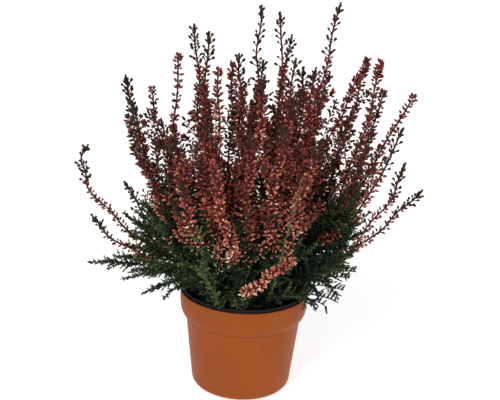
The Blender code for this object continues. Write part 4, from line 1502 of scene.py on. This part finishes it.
bud_material = heather_bud()
bud_model = closed_bud(STALK_LENGTH, BUD_LENGTH, BUD_RADIUS, BUD_SIDES, 0, BUD_SHAPE)
club_model = closed_bud(CLUB_STALK, CLUB_LENGTH, CLUB_RADIUS, BUD_SIDES, CLUB_STALK_END, CLUB_SHAPE)
scale_model = closed_bud(0, TIP_BUD_LENGTH, TIP_BUD_RADIUS, TIP_BUD_SIDES, 0, BUD_SHAPE)
bloom_draws = np.random.default_rng(BLOOM_SEED)
for shoot in spikes:
    flower_spike(shoot, bud_model, club_model, scale_model, bloom_draws)

# Floor, light and camera
# A plain pale floor that a pale wall closes all round. Soft light comes from all sides, from a broad lamp
# above and to the left, and from a weaker one on the right. The camera looks down by about 19 degrees.
CAMERA_PLACE = Vector((0, -1000 * MM, 531.6 * MM))
CAMERA_AIM = Vector((1.55 * MM, 0, 183 * MM))
CAMERA_ROLL = 0.0465
CAMERA_LENS = 83.5
SENSOR_WIDTH = 36
FLOOR_SIDES = 96
FLOOR_RADIUS = 5
WALL_HEIGHT = 4
BOARD_WHITE = (0.9, 0.9, 0.9, 1)
NEAR_GLOW = 0.55
FAR_GLOW = 0.85
NEAR_FLOOR = 0.3
FAR_FLOOR = 1.6
LIGHT_AIM = Vector((0, 0, 150 * MM))
KEY_PLACE = Vector((-0.75, -1.35, 1.3))
KEY_SIZE = 1.0
KEY_WATTS = 24
FILL_PLACE = Vector((1.3, -0.7, 0.9))
FILL_SIZE = 1.4
FILL_WATTS = 13
WORLD_STRENGTH = 0.27


def aimed(place, aim, roll=0):
    """A frame at a place whose -Z looks at the aim, with +Y up, turned about the line of sight."""
    forward = (aim - place).normalized()
    right = forward.cross(Vector((0, 0, 1))).normalized()
    above = right.cross(forward)
    turned_right = right * math.cos(roll) + above * math.sin(roll)
    turned_above = above * math.cos(roll) - right * math.sin(roll)
    made = Matrix((turned_right, turned_above, -forward)).transposed().to_4x4()
    made.translation = place
    return made


def area_light(name, place, size, watts):
    light = bpy.data.lights.new(name, "AREA")
    light.size = size
    light.energy = watts
    new_object(name, light).matrix_world = aimed(place, LIGHT_AIM)


def pale_board():
    """Matt white, with a glow of its own that grows with the distance from the plant."""
    made = new_material("pale_board", roughness=0.9)
    shader = made.node_tree.nodes["Principled BSDF"]
    shader.inputs["Base Color"].default_value = BOARD_WHITE
    shader.inputs["Emission Color"].default_value = (1, 1, 1, 1)
    reach = made.node_tree.nodes.new("ShaderNodeVectorMath")
    reach.operation = "LENGTH"
    made.node_tree.links.new(object_place(made), reach.inputs[0])
    glow = span(made, reach.outputs["Value"], NEAR_GLOW, FAR_GLOW, NEAR_FLOOR, FAR_FLOOR)
    plug(made, glow, "Emission Strength")
    return made


board = pale_board()
bpy.ops.object.select_all(action="DESELECT")
bpy.ops.mesh.primitive_circle_add(vertices=FLOOR_SIDES, radius=FLOOR_RADIUS, fill_type="NGON")
floor = bpy.context.object
floor.name = "floor"
floor.data.materials.append(board)
bpy.ops.mesh.primitive_cylinder_add(
    vertices=FLOOR_SIDES, radius=FLOOR_RADIUS, depth=WALL_HEIGHT, end_fill_type="NOTHING",
    location=(0, 0, WALL_HEIGHT / 2),
)
bpy.ops.object.transform_apply(location=True, rotation=True, scale=True)
wall = bpy.context.object
wall.name = "wall"
wall.data.materials.append(board)
wall.visible_diffuse = False
wall.visible_shadow = False

area_light("key", KEY_PLACE, KEY_SIZE, KEY_WATTS)
area_light("fill", FILL_PLACE, FILL_SIZE, FILL_WATTS)
world = bpy.data.worlds.new("studio")
world.use_nodes = True
world.node_tree.nodes["Background"].inputs["Color"].default_value = (1, 1, 1, 1)
world.node_tree.nodes["Background"].inputs["Strength"].default_value = WORLD_STRENGTH
bpy.context.scene.world = world
bpy.context.scene.view_settings.view_transform = "Standard"

camera_data = bpy.data.cameras.new("camera")
camera_data.lens = CAMERA_LENS
camera_data.sensor_width = SENSOR_WIDTH
camera = new_object("camera", camera_data)
camera.matrix_world = aimed(CAMERA_PLACE, CAMERA_AIM, CAMERA_ROLL)
bpy.context.scene.camera = camera
